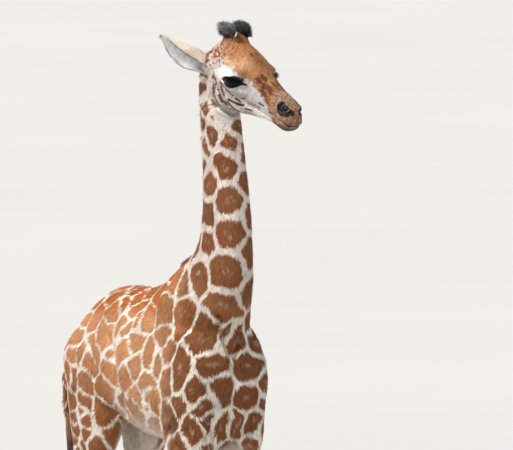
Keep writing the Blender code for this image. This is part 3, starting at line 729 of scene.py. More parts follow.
def through(rows, steps):
    """Rows spread evenly on a smooth curve through the given ones, by their first column."""
    key = rows[:, 0]
    slope = np.gradient(rows, key, axis=0)
    at = np.linspace(key[0], key[-1], steps)
    i = np.clip(np.searchsorted(key, at) - 1, 0, len(key) - 2)
    gap = (key[i + 1] - key[i])[:, None]
    t = ((at - key[i]) / gap[:, 0])[:, None]
    return ((2 * t ** 3 - 3 * t ** 2 + 1) * rows[i] + (t ** 3 - 2 * t ** 2 + t) * gap * slope[i]
            + (3 * t ** 2 - 2 * t ** 3) * rows[i + 1] + (t ** 3 - t ** 2) * gap * slope[i + 1])


def write_attribute(piece, name, values, kind="FLOAT"):
    attribute = piece.data.attributes.new(name, kind, "POINT")
    field = {"FLOAT": "value", "FLOAT_COLOR": "color"}[kind]
    attribute.data.foreach_set(field, np.asarray(values, np.float32).ravel())


def read_attribute(piece, name):
    values = np.empty(len(piece.data.vertices), np.float32)
    piece.data.attributes[name].data.foreach_get("value", values)
    return values.astype(float)


def ear(side):
    """Row by row, the outer face from edge to edge and the inner one back again."""
    axis = EAR_AXIS[side]
    facing = HEADING * 0.74 + LEFTWARD * side * 0.66 + UP * 0.10
    facing = unit(facing - axis * (facing @ axis))
    down = np.cross(axis, facing) * side
    root = on_head(-0.120, 0.050 * side, -0.017)
    turns = np.linspace(0, 1, AROUND)
    points, notes = [], []
    for share, tall, deep, first, last, wall in through(EAR_ROWS, LENGTHWISE):
        centre = root + axis * share * EAR_LENGTH + down * 0.010 * math.sin(math.pi * max(share, 0))
        for inset, order in ((0, turns), (wall, turns[::-1])):
            for turn in order:
                angle = math.radians(first + (last - first) * turn)
                edge = min(turn, 1 - turn) * AROUND
                pinch = 0.5 * wall * max(0, 1 - edge / 1.5)
                sink = inset - pinch if inset else pinch
                wave = 0.0008 * math.sin(share * 17 + turn * 9)
                points.append(centre + down * (tall - sink + wave) * math.sin(angle)
                              - facing * (deep - sink + wave) * math.cos(angle))
                notes.append((share + 1, 1.0 if inset else 0.0, turn))
    ring = 2 * AROUND
    faces = [(i + j, i + (j + 1) % ring, i + ring + (j + 1) % ring, i + ring + j)
             for i in range(0, (LENGTHWISE - 1) * ring, ring) for j in range(ring)]
    faces += [tuple(range(ring))[::-1], tuple(range((LENGTHWISE - 1) * ring, LENGTHWISE * ring))]
    mesh = bpy.data.meshes.new("ear_shell")
    mesh.from_pydata(np.asarray(points).tolist(), [], faces)
    mesh.update()
    shell = set_down("ear_shell", mesh)
    for name, values in zip(("ear_share", "ear_inner", "ear_turn"), zip(*notes)):
        write_attribute(shell, name, values)
    with editing(shell):
        bpy.ops.mesh.normals_make_consistent(inside=False)
    return shell


select_only(skin, ear(-1), ear(1))
bpy.ops.object.join()
bpy.ops.object.shade_smooth()
print("ears joined; skin has", len(skin.data.vertices), "points")

# %% [markdown]
# ## Markings
# A giraffe's patches are like the cells of mud that cracks as it dries: each grows from its own middle until it
# nearly meets its neighbours, and the pale line between two patches runs halfway between their middles. So the
# coat is drawn from a list of middles. Those of the right side are placed one by one. The left side takes the
# same ones, moved about, and the rest of the hide is filled by rule, each part with its own spacing.

# %% The middles of the patches on the right side, in centimetres
HAUNCH = [
    (-8, 18, 108), (-7, 34, 106), (-10, 19, 103), (-10, 35, 101), (-13, 23, 99), (-14, 27, 96), (-14, 34, 96),
    (-12, 25, 95), (-12, 36, 91), (-13, 33, 90), (-11, 27, 89), (-11, 17, 88), (-11, 28, 85), (-10, 35, 83),
    (-13, 30, 82), (-13, 18, 82), (-14, 24, 81), (-13, 29, 80), (-11, 35, 80), (-14, 22, 79), (-11, 35, 77),
    (-13, 29, 76), (-15, 22, 75), (-11, 36, 74), (-13, 31, 73)]
BARREL = [
    (-5, -8, 118), (-1, 20, 116), (-1, 7, 114), (-1, 16, 114), (0, 30, 114), (-5, 12, 112), (-7, 15, 111),
    (-9, -9, 111), (-4, 34, 109), (-8, 8, 109), (-8, 1, 108), (-11, 10, 108), (-9, 5, 107), (-9, 7, 106),
    (-11, -10, 104), (-16, 8, 104), (-11, 3, 103), (-9, 5, 101), (-11, -5, 99), (-12, -8, 99), (-17, 14, 96),
    (-12, 0, 95), (-16, 14, 94), (-12, -3, 93), (-14, 2, 93), (-12, 0, 89), (-9, -4, 89), (-13, -3, 88),
    (-10, 3, 84), (-8, -3, 80), (-5, -6, 79)]
SHOULDER = [
    (7, -24, 108), (-5, -24, 107), (-1, -29, 106), (3, -27, 105), (7, -22, 104), (-10, -12, 101), (5, -26, 98),
    (-4, -28, 98), (-10, -19, 97), (-8, -14, 95), (-3, -27, 93), (-9, -27, 92), (-6, -20, 90), (6, -27, 90),
    (-8, -28, 89), (2, -26, 83), (8, -26, 83), (-1, -25, 83), (11, -25, 81), (8, -27, 79), (-6, -27, 77),
    (-6, -26, 75)]
NECK = [
    (-3, -19, 171), (-3, -19, 167), (-3, -24, 168), (-3, -20, 163), (-3, -23, 164), (-2, -25, 161),
    (-3, -24, 160), (-3, -18, 159), (2, -27, 158), (-3, -23, 157), (0, -28, 155), (-3, -19, 153), (4, -28, 152),
    (-1, -27, 149), (-3, -18, 149), (4, -29, 145), (-4, -22, 144), (-1, -29, 140), (-4, -21, 137),
    (5, -30, 136), (-1, -30, 132), (-5, -22, 129), (-4, -17, 128), (4, -32, 127), (-2, -29, 123),
    (-5, -20, 122), (5, -29, 117), (-3, -15, 117), (-2, -28, 113), (-9, -17, 111)]
right = np.array(HAUNCH + BARREL + SHOULDER + NECK) / 100
print(len(right), "patches placed by hand")

# %% [markdown]
# The same few parts of the body are asked for again and again, so each gets a soft mask. They also set how far
# apart the patches stand: wide on the neck, close on the legs, and closer still towards the hooves.

# %% Regions of the body, and the spacing of patches
def region_masks(points):
    out, y, z = body_place(points).T
    head = head_share_of(points)
    neck = rise(z + 0.55 * (-y - 0.24), 1.10, 1.20) * (1 - head) * fall(y, -0.12, -0.02)
    leg = fall(z, 0.70, 0.80)
    trunk = (1 - head) * (1 - neck) * (1 - leg)
    return {"head": head, "neck": neck, "leg": leg, "trunk": trunk, "out": out,
            "belly": trunk * fall(z, 0.78, 0.84) * band(y, -0.18, -0.10, 0.14, 0.20),
            "back": trunk * rise(z + 0.10 * y, 1.08, 1.12) * rise(y, -0.15, -0.05),
            "haunch": trunk * rise(y, 0.10, 0.17)}


def patch_spacing(points, directions, where):
    """How far apart the middles stand; wider beside the ones that are given."""
    _, y, z = points.T
    spacing = np.full(len(points), 0.068)
    spacing += where["neck"] * 0.006 + where["belly"] * 0.016 - where["back"] * 0.012 - where["haunch"] * 0.012
    spacing = np.where(where["leg"] > 0.5, 0.034 + 0.030 * rise(z, 0.30, 0.75), spacing)
    by_hand = (y < 0.36) & (z > 0.76) & (directions[:, 2] > -0.55) & (where["out"] > 0.02)
    return np.where(by_hand & (where["head"] < 0.1) & (directions[:, 1] < 0.75), spacing * 1.45, spacing)


print("regions:", ", ".join(region_masks(points)))

# %% [markdown]
# The rest is filled by throwing darts: points of the skin are tried in a shuffled order, and one is kept where
# it is far enough from all that are kept already. The new middles are then moved to the middle of their own
# cell a few times, which evens the patches out, as growth does.

# %% Grow the middles of the other patches
WRAP = 0.0013            # keeps a patch on its own side of a thin limb
DARTS, SAMPLE, MOST = 14000, 16000, 1500


def nearest_point(points, targets):
    return np.array([int(((points - target) ** 2).sum(1).argmin()) for target in targets])


def nearest_middles(points, directions, middles, normals, count, batch=8000):
    """The closest middles to each point, and how far each is, squared; facing matters too."""
    found, far = [], []
    for start in range(0, len(points), batch):
        p, n = points[start:start + batch], directions[start:start + batch]
        d = ((p ** 2).sum(1)[:, None] + (middles ** 2).sum(1)[None] - 2 * p @ middles.T
             + WRAP * (1 - n @ normals.T))
        near = np.argpartition(d, count, axis=1)[:, :count] if count > 1 else d.argmin(1)[:, None]
        values = np.take_along_axis(d, near, 1)
        order = np.argsort(values, axis=1)
        found.append(np.take_along_axis(near, order, 1))
        far.append(np.take_along_axis(values, order, 1))
    return np.concatenate(found), np.concatenate(far)


def grow_middles(points, directions, given, rng, rounds=3):
    where = region_masks(points)
    spacing = patch_spacing(points, directions, where)
    free = np.flatnonzero((where["head"] < 0.5) & (points[:, 2] > 0.20))
    kept, normals = np.zeros((MOST, 3)), np.zeros((MOST, 3))
    count = len(given)
    kept[:count], normals[:count] = given, directions[nearest_point(points, given)]
    for i in rng.permutation(free)[:DARTS]:
        gap = ((kept[:count] - points[i]) ** 2).sum(1) * (1 + 0.9 * (1 - normals[:count] @ directions[i]))
        if gap.min() > (spacing[i] * 0.90) ** 2:
            kept[count], normals[count] = points[i], directions[i]
            count += 1
    middles, normals = kept[:count].copy(), normals[:count].copy()
    sample = rng.choice(len(points), SAMPLE, replace=False)
    for _ in range(rounds):
        owner = nearest_middles(points[sample], directions[sample], middles, normals, 1)[0][:, 0]
        for k in range(len(given), len(middles)):
            mine = sample[owner == k]
            if len(mine):
                middles[k] = points[mine].mean(0)
        at = nearest_point(points, middles[len(given):])
        middles[len(given):], normals[len(given):] = points[at], directions[at]
    return middles, normals


points, directions = points_of(skin), normals_of(skin)
rng = np.random.default_rng(7)
mirrored = right[np.abs(right[:, 0] - MIDLINE) > 0.045] * (-1, 1, 1) + (2 * MIDLINE, 0, 0)
mirrored += rng.normal(0, 0.011, mirrored.shape) * (0.3, 1, 1)
clear = [m for m in mirrored if np.min(((right - m) ** 2).sum(1)) > 0.045 ** 2]
given = np.array([*right, *clear])
middles, middle_normals = grow_middles(points, directions, given, rng)
print(len(given), "middles given and", len(middles) - len(given), "grown")

# %% [markdown]
# Where a point of the skin lies between the middles decides its place in a patch. Its distance to the line
# halfway to each near neighbour is blended to round the corners, and half the width of the pale line is taken
# off. What is left is above zero inside a patch. The points are first shifted by a slow ripple, so that no edge
# is straight.

# %% Measure how deep each point lies in its patch
CORNER, NEIGHBOURS = 0.0026, 6


def ripple(points, scale, seed, waves=14):
    """Smooth noise about one high, made of plane waves of about that length."""
    rng = np.random.default_rng(seed)
    total = np.zeros(len(points))
    for _ in range(waves):
        way = unit(rng.normal(size=3)) * 2 * math.pi / scale * rng.uniform(0.6, 1.5)
        total += np.cos(points @ way + rng.uniform(0, 2 * math.pi))
    return total / math.sqrt(waves / 2)


def line_half_width(points, where):
    """Half the width of the pale lines, and how much wider the level ones of the neck are."""
    y = points[:, 1]
    width = 0.0042 + 0.0006 * where["neck"] + 0.0020 * where["belly"] - 0.0008 * where["back"]
    width = width + 0.0014 * rise(-y, 0.18, 0.27) * where["trunk"] + 0.0010 * where["leg"]
    width = width - 0.0008 * rise(y, -0.12, 0.02) * where["trunk"] * (1 - where["belly"])
    return width * (1 + 0.22 * ripple(points, 0.05, 31)), 0.0044 * where["neck"]


def patch_depth(points, directions):
    """How far inside its patch each point is, which patch that is, and the masks of the body's parts."""
    bent = points + np.stack([ripple(points, 0.075, s) * 0.0030 + ripple(points, 0.024, s + 9) * 0.0012
                              for s in (1, 2, 3)], 1)
    near, far = nearest_middles(bent, directions, middles, middle_normals, NEIGHBOURS)
    own, others = near[:, :1], near[:, 1:]
    apart = middles[others] - middles[own]
    facing = 1 - (middle_normals[others] * middle_normals[own]).sum(2)
    gap = np.sqrt((apart ** 2).sum(2) + WRAP * facing)
    where = region_masks(points)
    half, level = line_half_width(points, where)
    to_line = (far[:, 1:] - far[:, :1]) / (2 * gap) - level[:, None] * np.abs(apart[:, :, 2]) / gap
    depth = -CORNER * np.log(np.exp(-np.minimum(to_line, 0.06) / CORNER).sum(1))
    return depth - half, near[:, 0], where


body_depth, patch_of, where = patch_depth(points, directions)
print("patch share of the hide:", round(float((body_depth > 0).mean()), 2))

# %% [markdown]
# ## Colours of the hide
# Each point of the skin gets a ground colour, the cream between the patches, and a patch colour. The finish mixes
# the two by the depth measured above. Colours are mixed by layers, as a painter lays washes: a base, then one
# tint after another, each with its own mask. Painted shade makes the folds a little darker and warmer.

# %% Mix the ground and the patches of the body
# Painted shade in the folds: which of the body's strokes carry it, and how dark.
FOLD_SHADES = ((0, 0.30), (1, 0.60), (7, 0.60), (9, 0.30), (10, 0.40))     # the body's strokes and how dark
SHADE_HALF, SHADE_WARMTH = 0.0065, (0.85, 1.05, 1.2)


def tint(red, green, blue):
    """A colour as the eye names it, 0 to 255, in the linear values that a renderer uses."""
    c = np.array((red, green, blue), float) / 255
    return np.where(c < 0.04045, c / 12.92, ((c + 0.055) / 1.055) ** 2.4)


def lay(under, colour, mask):
    return under + (colour - under) * np.clip(mask, 0, 1)[:, None]


def wash(under, *layers):
    """Lays tints over a base, each with its mask."""
    for colour, mask in layers:
        under = lay(under, tint(*colour), mask)
    return under


def primed(places, colour):
    return np.tile(tint(*colour), (len(places), 1))


FOLD_LINES = [(laid_on(body_place(points), BODY_STROKES[k][0]), strength) for k, strength in FOLD_SHADES]


def body_colours(points, directions, depth, patch_of, where):
    y, z = points[:, 1], points[:, 2]
    trunk, leg = where["trunk"], where["leg"]
    ground = wash(
        primed(points, (230, 219, 206)),
        ((222, 208, 198), where["neck"]),
        ((228, 216, 204), np.maximum(where["belly"], rise(-directions[:, 2], 0.3, 0.8))),
        ((226, 204, 178), leg * fall(z, 0.40, 0.60)),
        ((206, 182, 156), leg * fall(z, 0.07, 0.12)))
    patch = wash(
        primed(points, (188, 133, 92)),
        ((170, 99, 49), where["back"]),
        # Darker brown on chest and neck: partly their own colour, partly painted shade of the side turned from the
        # key light.
        ((128, 78, 44), rise(-y, 0.08, 0.20) * trunk),
        ((134, 83, 50), where["neck"]),
        ((150, 94, 56), rise(y, 0.12, 0.20) * fall(z, 0.84, 1.00)))
    rng = np.random.default_rng(11)
    tone = rng.normal(0, 1, len(middles))[patch_of]
    redder = rng.normal(0, 1, len(middles))[patch_of]
    patch *= (1 + 0.07 * np.clip(tone, -2, 2))[:, None] * (1 + 0.03 * redder[:, None] * np.array((1, -0.3, -1)))
    fore = np.maximum(where["neck"], rise(-y, 0.12, 0.22) * trunk)
    rim = np.exp(-np.maximum(depth, 0) / 0.006)
    patch *= (1 - 0.12 * rim * (0.4 + 0.6 * fore))[:, None]
    elbow = bell((y, -0.13, 0.09), (z, 0.82, 0.07)) * trunk
    under_barrel = band(y, -0.08, -0.02, 0.12, 0.18)
    patch = wash(
        patch,
        ((76, 48, 32), elbow * 0.85 * rise(depth, 0.002, 0.016) * (0.6 + 0.4 * ripple(points, 0.03, 5))),
        ((150, 114, 90), 0.6 * (fall(z, 0.80, 0.92) * under_barrel * trunk)))
    inner = fall(z, 0.74, 0.84) * rise(-directions[:, 0] * np.sign(points[:, 0] - MIDLINE), 0.1, 0.7)
    pale = np.max([0.70 * fall(z, 0.78, 0.87) * under_barrel * trunk, 0.78 * fall(z, 0.42, 0.62),
                   0.90 * fall(z, 0.20, 0.42), 0.8 * inner], axis=0)
    patch = lay(patch, ground, np.clip(pale, 0, 0.96))
    # Painted shade along each fold, a little warm, on ground and patches alike.
    for line, strength in FOLD_LINES:
        near = bell((distance_to_line(body_place(points), line), 0, SHADE_HALF))
        fold = 1 - strength * near[:, None] * SHADE_WARMTH
        ground, patch = ground * fold, patch * fold
    return ground, patch


ground, patch = body_colours(points, directions, body_depth, patch_of, where)
print("mean patch colour", patch.mean(0).round(3), "ground", ground.mean(0).round(3))

# %% [markdown]
# The face has no network. Its crown and nose are tan, brown blotches run down the bridge, the hair round the eye
# is white, the cheek is a silvery grey, and small dashes of brown follow the jaw. Lids, nostrils and lips are
# bare dark skin. All are placed in the head's own directions, in millimetres, and laid on the skin.

# %% Where the marks of the face are
FACE = face_place(points)


def drawn(line):
    return laid_on(FACE, line)


NOSTRIL = drawn([(154, 26, 11), (151, 31, 2), (157, 34, -6), (169, 33, -8), (179, 28, -4), (184, 21, 1)])
NOSTRIL_HOLLOW = drawn([(161, 27, 7), (168, 30, 1), (176, 27, 2)])
NOSE_PAD = drawn([(158, 26, 6), (168, 24, 4), (177, 20, 1), (184, 15, -2)])
MOUTH = drawn([(122, 31, -28), (139, 33, -29), (158, 33, -30), (177, 30, -31), (190, 20, -33), (197, 0, -33)])
DASHES = [(drawn(ends), half) for *ends, half in (  # two ends and the half width
    ((-10, 47, -61), (15, 43, -59), 4.0), ((18, 42, -59), (38, 38, -54), 3.4),
    ((-43, 56, -29), (-20, 55, -37), 1.9), ((-20, 55, -37), (7, 51, -42), 2.2),
    ((14, 46, -46), (28, 43, -48), 3.0), ((-34, 50, -44), (-22, 49, -56), 2.2),
    ((-38, 53, -62), (-26, 49, -74), 3.0), ((0, 36, -78), (22, 32, -78), 3.2),
    ((44, 35, -62), (64, 33, -56), 2.8), ((-62, 52, -44), (-54, 50, -60), 3.0),
    ((-18, 36, -84), (4, 30, -88), 3.0), ((84, 34, -24), (98, 32, -22), 2.2),
    ((-78, 50, -16), (-74, 52, -30), 2.2), ((30, 44, -36), (40, 42, -34), 2.0))]
SMUDGES = [(drawn(ends), half, strength) for *ends, half, strength in (  # soft brown marks on cheek and bridge
    ((50, 38, -42), (84, 33, -36), 4.0, 0.5), ((52, 33, 30), (62, 31, 25), 4.6, 0.9),
    ((57, 22, 38), (70, 20, 33), 4.6, 0.8), ((76, 29, 23), (112, 24, 18), 5.4, 0.85),
    ((79, 33, 11), (96, 32, 4), 4.4, 0.8), ((96, 31, -4), (112, 31, -12), 3.2, 0.6),
    ((84, 8, 34), (104, 7, 28), 3.6, 0.6), ((-11, 9, 64), (-6, 10, 62), 2.4, 0.9))]
STRIPES = [(drawn(line), half) for line, half in (  # brown bands that follow the folds behind the jaw
    ([(-66, 53, -30), (-53, 52, -46), (-31, 50, -63), (-12, 40, -78)], 2.6),
    ([(-47, 55, -30), (-33, 53, -50), (-14, 47, -70), (8, 38, -76)], 2.2),
    ([(-84, 46, -18), (-74, 49, -42), (-56, 49, -66), (-36, 42, -84), (-18, 26, -92)], 3.2),
    ([(-98, 38, -30), (-88, 42, -56), (-72, 42, -80), (-52, 34, -98)], 3.4))]
PALE_FOLDS = [drawn(line) for line in (  # crests of the folds, nearly white
    [(-64, 54, -34), (-47, 52, -54), (-32, 50, -70), (-20, 38, -88), (-10, 20, -100)],
    [(-100, 44, -60), (-84, 44, -84), (-60, 41, -97), (-40, 36, -104), (-16, 24, -110)])]
TAN_EDGE = np.array([  # towards the nose, towards the crown
    (-140, 60), (-110, 50), (-80, 38), (-62, 25), (-44, 18), (-20, 27), (0, 25), (20, 19), (40, 13), (70, 3),
    (100, -9), (118, -26), (140, -34), (230, -34)], float)
print(len(DASHES), "dashes,", len(SMUDGES), "smudges,", len(STRIPES), "stripes")

# %% Paint the hair of the face
NO_MARK = -0.02          # a depth that is well outside every patch


def streaks(places, long, fine, seed):
    """Noise drawn out along the nose, as clumps of hair are."""
    return ripple(places / 1000 * (fine / long, 1, 1), fine, seed)


def hair_of_the_face(points, places, tan, poll):
    nose, out, crown = places.T
    cheek = band(nose, -14, 20, 88, 112) * rise(crown, -46, -30)
    bridge = tan * rise(nose, 30, 60)
    muzzle = rise(nose + 0.25 * (crown + 20), 112, 132)
    folds = np.min([distance_to_line(places, line) for line in PALE_FOLDS], axis=0)
    white = np.exp(-(((nose + 32) / 40) ** 2 + ((crown - 0.25 * (nose + 32)) / 21) ** 2) ** 2) * (out > 30)
    horn = rise(crown, 60, 74) * (nose < -40)
    uneven = 1.7 * streaks(places, 0.016, 0.006, 50)
    smudged = [((78, 40, 20), strength * rise(half - distance_to_line(places, line) + uneven, -3.6, 1.2))
               for line, half, strength in SMUDGES]
    face = wash(
        primed(points, (190, 180, 172)),
        ((184, 180, 180), cheek),
        ((166, 154, 146), cheek * rise(ripple(points, 0.014, 42), 0.5, 1.6) * 0.6),
        ((222, 216, 210), bell((crown, -52, 7)) * rise(nose, 20, 50)),
        ((158, 106, 66), tan),
        # A painted highlight of lighter tan over the eye.
        ((191, 149, 111), tan * bell((nose, 2, 26), (out, 38, 22)) * 0.8),             # over the eye
        ((214, 180, 144), tan * 0.7 * bell((nose, -40, 30), (crown, 30, 10))),
        ((124, 76, 46), tan * bell((nose, 12, 24), (out, 0, 24)) * 0.85),              # forehead
        ((132, 86, 54), bridge * 0.9),
        ((172, 130, 96), bridge * rise(streaks(places, 0.040, 0.008, 43), 0.2, 1.2) * 0.6),
        *smudged,
        ((140, 108, 86), muzzle * 0.9),
        ((206, 168, 138), muzzle * rise(streaks(places, 0.018, 0.0042, 47), 0.3, 1.4) * 0.55),
        ((84, 56, 42), muzzle * rise(streaks(places, 0.018, 0.0042, 48), 0.3, 1.4) * 0.6),
        ((250, 247, 243), fall(folds, 1.6, 3.8) * 0.9),
        ((242, 241, 238), white * (1 - 0.85 * tan)),
        ((210, 174, 138), poll * 0.8),
        ((104, 76, 58), rise(nose, 136, 152) * fall(crown, -43, -37) * 0.85),          # chin
        ((250, 248, 244), band(nose, 60, 90, 128, 142) * fall(crown, -46, -40)),       # throat
        ((164, 108, 66), horn))
    rough = 0.10 + 0.10 * tan + 0.06 * horn + 0.08 * muzzle - 0.04 * cheek
    return face * (1 + rough * np.clip(streaks(places, 0.018, 0.0045, 49), -1.8, 1.8))[:, None]


print("hair of the face ready")

# %% Paint the bare skin, and the brown marks between the eye and the neck
def bare_of_the_face(points, places, face):
    """Nostrils, lips and lids; gives the colours and where the skin is bare."""
    slit, hollow, pad = (distance_to_line(places, line) for line in (NOSTRIL, NOSTRIL_HOLLOW, NOSE_PAD))
    lips, opening = distance_to_line(places, MOUTH), np.minimum(slit, hollow)
    face = wash(
        face,
        ((26, 22, 22), fall(np.minimum(opening, pad - 1.0), 5.0, 7.6)),
        # Near black in the nostril's opening: partly dark skin, partly painted shade of the hole's depth.
        ((6, 5, 5), fall(opening, 2.2, 4.2)),
        # A painted highlight, grey-white, along the nostril's inner fold.
        ((176, 166, 160), bell((slit, 4.6, 1.1)) * bell((hollow, 3.8, 1.6)) * 0.9),
        ((34, 24, 20), fall(lips, 1.6, 3.8)))
    bare = fall(np.minimum(np.minimum(opening, pad) - 2.0, lips), 2.0, 4.5)
    for side in (-1, 1):
        along, up, level = eye_place(points, side)
        gap = opening_distance(along, up) * 1000
        near = (level > -0.01) & (np.abs(up) < 0.03)
        along, up = along * 1000, up * 1000
        rim = fall(gap - 1.2 * rise(up, -2, 3), 1.6, 3.2)
        corner = bell((np.abs(along), 38, 5.5), (up + 0.06 * along, 0, 2.6))
        face = wash(
            face,
            ((255, 253, 250), bell((gap, 5.0, 2.2)) * fall(along, 8, 24) * near),
            ((44, 32, 28), bell((along, 21, 14), (up, 12.5, 4.6)) * 0.9 * near),       # shade of the lashes
            ((16, 13, 13), np.maximum(rim, rise(corner, 0.25, 0.6)) * near))
        bare = np.maximum(bare, np.maximum(rim, rise(corner, 0.3, 0.7)) * near)
    return face, bare


def marks_of_the_face(points, places):
    """How deep each point lies in a stripe, a dash or a dot."""
    nose, out, crown = places.T
    marks = np.full(len(points), NO_MARK)
    for line, half in STRIPES:
        along_stripe = half * (0.85 + 0.50 * ripple(points, 0.022, 44))
        marks = np.maximum(marks, (along_stripe - distance_to_line(places, line)) / 1000)
    for line, half in DASHES:
        marks = np.maximum(marks, (half - distance_to_line(places, line)) / 1000)
    rng = np.random.default_rng(23)
    for _ in range(115):                             # dots over the poll
        along, up = -92 + rng.normal() * 15, 28 + rng.normal() * 17
        gone = np.hypot(nose - along, crown - up) + 200 * (out < 18)
        marks = np.maximum(marks, (rng.uniform(1.4, 2.9) - gone) / 1000)
    for _ in range(26):                              # dots between the horns
        spot = np.array((-56 + rng.normal() * 16, abs(rng.normal() * 14), 62 + rng.normal() * 7))
        gone = np.linalg.norm((places - spot) * (0.6, 1.4, 1), axis=1)
        marks = np.maximum(marks, (rng.uniform(1.0, 2.2) - gone) / 1000)
    return marks


def paint_head(points, ground, patch, depth):
    places = face_place(points)
    nose, out, crown = places.T
    share = head_share_of(points)
    edge = np.interp(nose, TAN_EDGE[:, 0], TAN_EDGE[:, 1]) + 3.0 * ripple(points, 0.016, 41)
    tan = rise(crown - edge, -3, 6)
    poll = bell((nose, -94, 26), (crown, 34, 24)) * (out > 16)
    face, bare = bare_of_the_face(points, places, hair_of_the_face(points, places, tan, poll))
    brown = wash(primed(points, (84, 46, 28)), ((120, 52, 22), poll))
    marks = marks_of_the_face(points, places)
    return (lay(ground, face, share), lay(patch, brown, share), depth * (1 - share) + marks * share,
            bare * share)


ground, patch, depth, bare = paint_head(points, ground, patch, body_depth)
print("bare dark skin:", int((bare > 0.5).sum()), "points")

# %% [markdown]
# The back of the ear is cream and its hollow is silvery; painted shade darkens the hollow down the tube. Its free
# edge and its lower margin each carry a thin dark line, partly dark hair and partly painted shade.

# %% Paint the ears and store it all on the skin
ear_share, ear_inner, ear_turn = (read_attribute(skin, n) for n in ("ear_share", "ear_inner", "ear_turn"))
on_ear, along_ear = ear_share > 0.5, ear_share - 1
blush = 0.5 * bell((along_ear, 0.25, 0.22)) * rise(ripple(points, 0.02, 51), -0.4, 1.2)
outer = wash(primed(points, (232, 214, 196)), ((206, 168, 142), blush))
hollow = wash(primed(points, (250, 249, 248)),
              # Painted shade: the hollow darkens down the tube.
              ((226, 220, 216), fall(along_ear, 0.02, 0.16) * rise(ear_turn, 0.2, 0.5)))
ear_colour = wash(
    lay(outer, hollow, ear_inner),
    # Thin dark lines on the free edge and the lower margin: partly dark hair, partly painted shade.
    ((120, 100, 90), rise(ear_turn, 0.95, 0.99) * rise(along_ear, 0.02, 0.15)),
    ((52, 36, 30), fall(ear_turn, 0.015, 0.040) * rise(along_ear, 0.10, 0.20)),
    ((60, 48, 42), rise(along_ear, 0.93, 1.0) * 0.8))
ground = np.where(on_ear[:, None], ear_colour, ground)
depth, bare = np.where(on_ear, NO_MARK, depth), np.where(on_ear, 0, bare)


def store_coat(piece, depth, ground, patch, bare, shade):
    """The five layers that the coat's finish reads."""
    for name, values in (("patch_depth", depth), ("bare", bare), ("shade", shade)):
        write_attribute(piece, name, values)
    for name, colour in (("ground", ground), ("patch", patch)):
        write_attribute(piece, name, np.column_stack([np.clip(colour, 0, 1), np.ones(len(colour))]), "FLOAT_COLOR")


store_coat(skin, np.clip(depth, -0.03, 0.05), ground, patch, bare, np.zeros(len(points)))
print("layers stored:", [a.name for a in skin.data.attributes if a.domain == "POINT"])

# %% [markdown]
# ## Finish of the coat
# Skin and tufts share one finish, so their markings agree. It compares the depth in the patch with a fine noise,
# which gives the toothed edge of hair lying over hair, and mixes ground and patch there. Finer noises vary the
# colour from hair to hair and roughen the surface. Bare skin is smoother, so it shines a little.

# %% Build the coat's finish
TOOTH = 0.0019           # how far the noise moves a patch's edge


def coat_finish():
    made, tree, surface = new_finish("calf_coat")
    place = place_in(tree)
    teeth = between(tree, noise(tree, place, 330, 3), 0.2, 0.8, -TOOTH, TOOTH)
    in_patch = between(tree, arithmetic(tree, "ADD", layer(tree, "patch_depth"), teeth), -0.0007, 0.0007)
    colour = blend(tree, in_patch, layer(tree, "ground", "Color"), layer(tree, "patch", "Color"))
    hairs = between(tree, noise(tree, place, 620, 3), 0.25, 0.75, 0.84, 1.14)
    cloud = between(tree, noise(tree, place, 22, 2), 0.25, 0.75, 0.94, 1.06)
    shade = between(tree, layer(tree, "shade"), -1, 1, 0.70, 1.30)
    light = arithmetic(tree, "MULTIPLY", arithmetic(tree, "MULTIPLY", hairs, cloud), shade)
    feed(tree, surface["Base Color"], shaded(tree, colour, light))
    feed(tree, surface["Roughness"], between(tree, layer(tree, "bare"), 0, 1, 0.82, 0.36))
    surface["Specular IOR Level"].default_value = 0.20
    surface["Sheen Weight"].default_value = 0.03
    surface["Sheen Roughness"].default_value = 0.5
    roughen(tree, surface, noise(tree, place, 900, 3), 0.5, 0.0006)
    return made


coat = coat_finish()
skin.data.materials.clear()
skin.data.materials.append(coat)
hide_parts(*SOFT, "ear_right", "ear_left")
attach(skin, "root")
print("coat finish on", skin.name)

# %% [markdown]
# The eye's finish is nearly black at the pupil, with a deep brown iris, and its clear coat is wet and sharp.

# %% Finish the eyes
def opaque(*colour):
    return (*tint(*colour), 1)


def eye_finish():
    made, tree, surface = new_finish("calf_eye")
    fibres = between(tree, noise(tree, place_in(tree), 420, 4), 0.35, 0.75)
    feed(tree, surface["Base Color"], blend(tree, fibres, opaque(5, 4, 5), opaque(20, 13, 10)))
    surface["Roughness"].default_value = 0.12
    surface["Specular IOR Level"].default_value = 0.05
    surface["Coat Weight"].default_value = 0.08
    surface["Coat Roughness"].default_value = 0.03
    return made


wet = eye_finish()
for ball in eyeballs:
    ball.data.materials.clear()
    ball.data.materials.append(wet)
print("eyes finished")

# %% [markdown]
# ## Coat
# A calf's coat is short, and its hairs lie flat and overlap like thatch, so small locks of hair are enough: each
# is a thin three-sided spike that leans back along the skin. One is modelled here. The same shape is then set
# hundreds of thousands of times, turned, stretched and coloured for its place, and joined by body part.

# %% Model one tuft
def new_spike():
    """A three-sided spike, one high, standing on the origin."""
    bpy.ops.object.select_all(action="DESELECT")
    bpy.ops.mesh.primitive_cone_add(vertices=3, radius1=1, radius2=0, depth=1, location=(0, 0, 0.5))
    bpy.ops.object.transform_apply(location=True, rotation=True, scale=True)
    return bpy.context.object


def taken_apart(pattern):
    """The pattern's points and faces; the pattern itself is removed."""
    points, faces = points_of(pattern), [tuple(face.vertices) for face in pattern.data.polygons]
    bpy.data.objects.remove(pattern)
    return points, faces


tuft_points, tuft_faces = taken_apart(new_spike())
tuft_points = tuft_points / (0.866, 1, 1)      # across, away from the skin, along the hair
print("one tuft:", tuft_points.round(2).tolist(), tuft_faces)

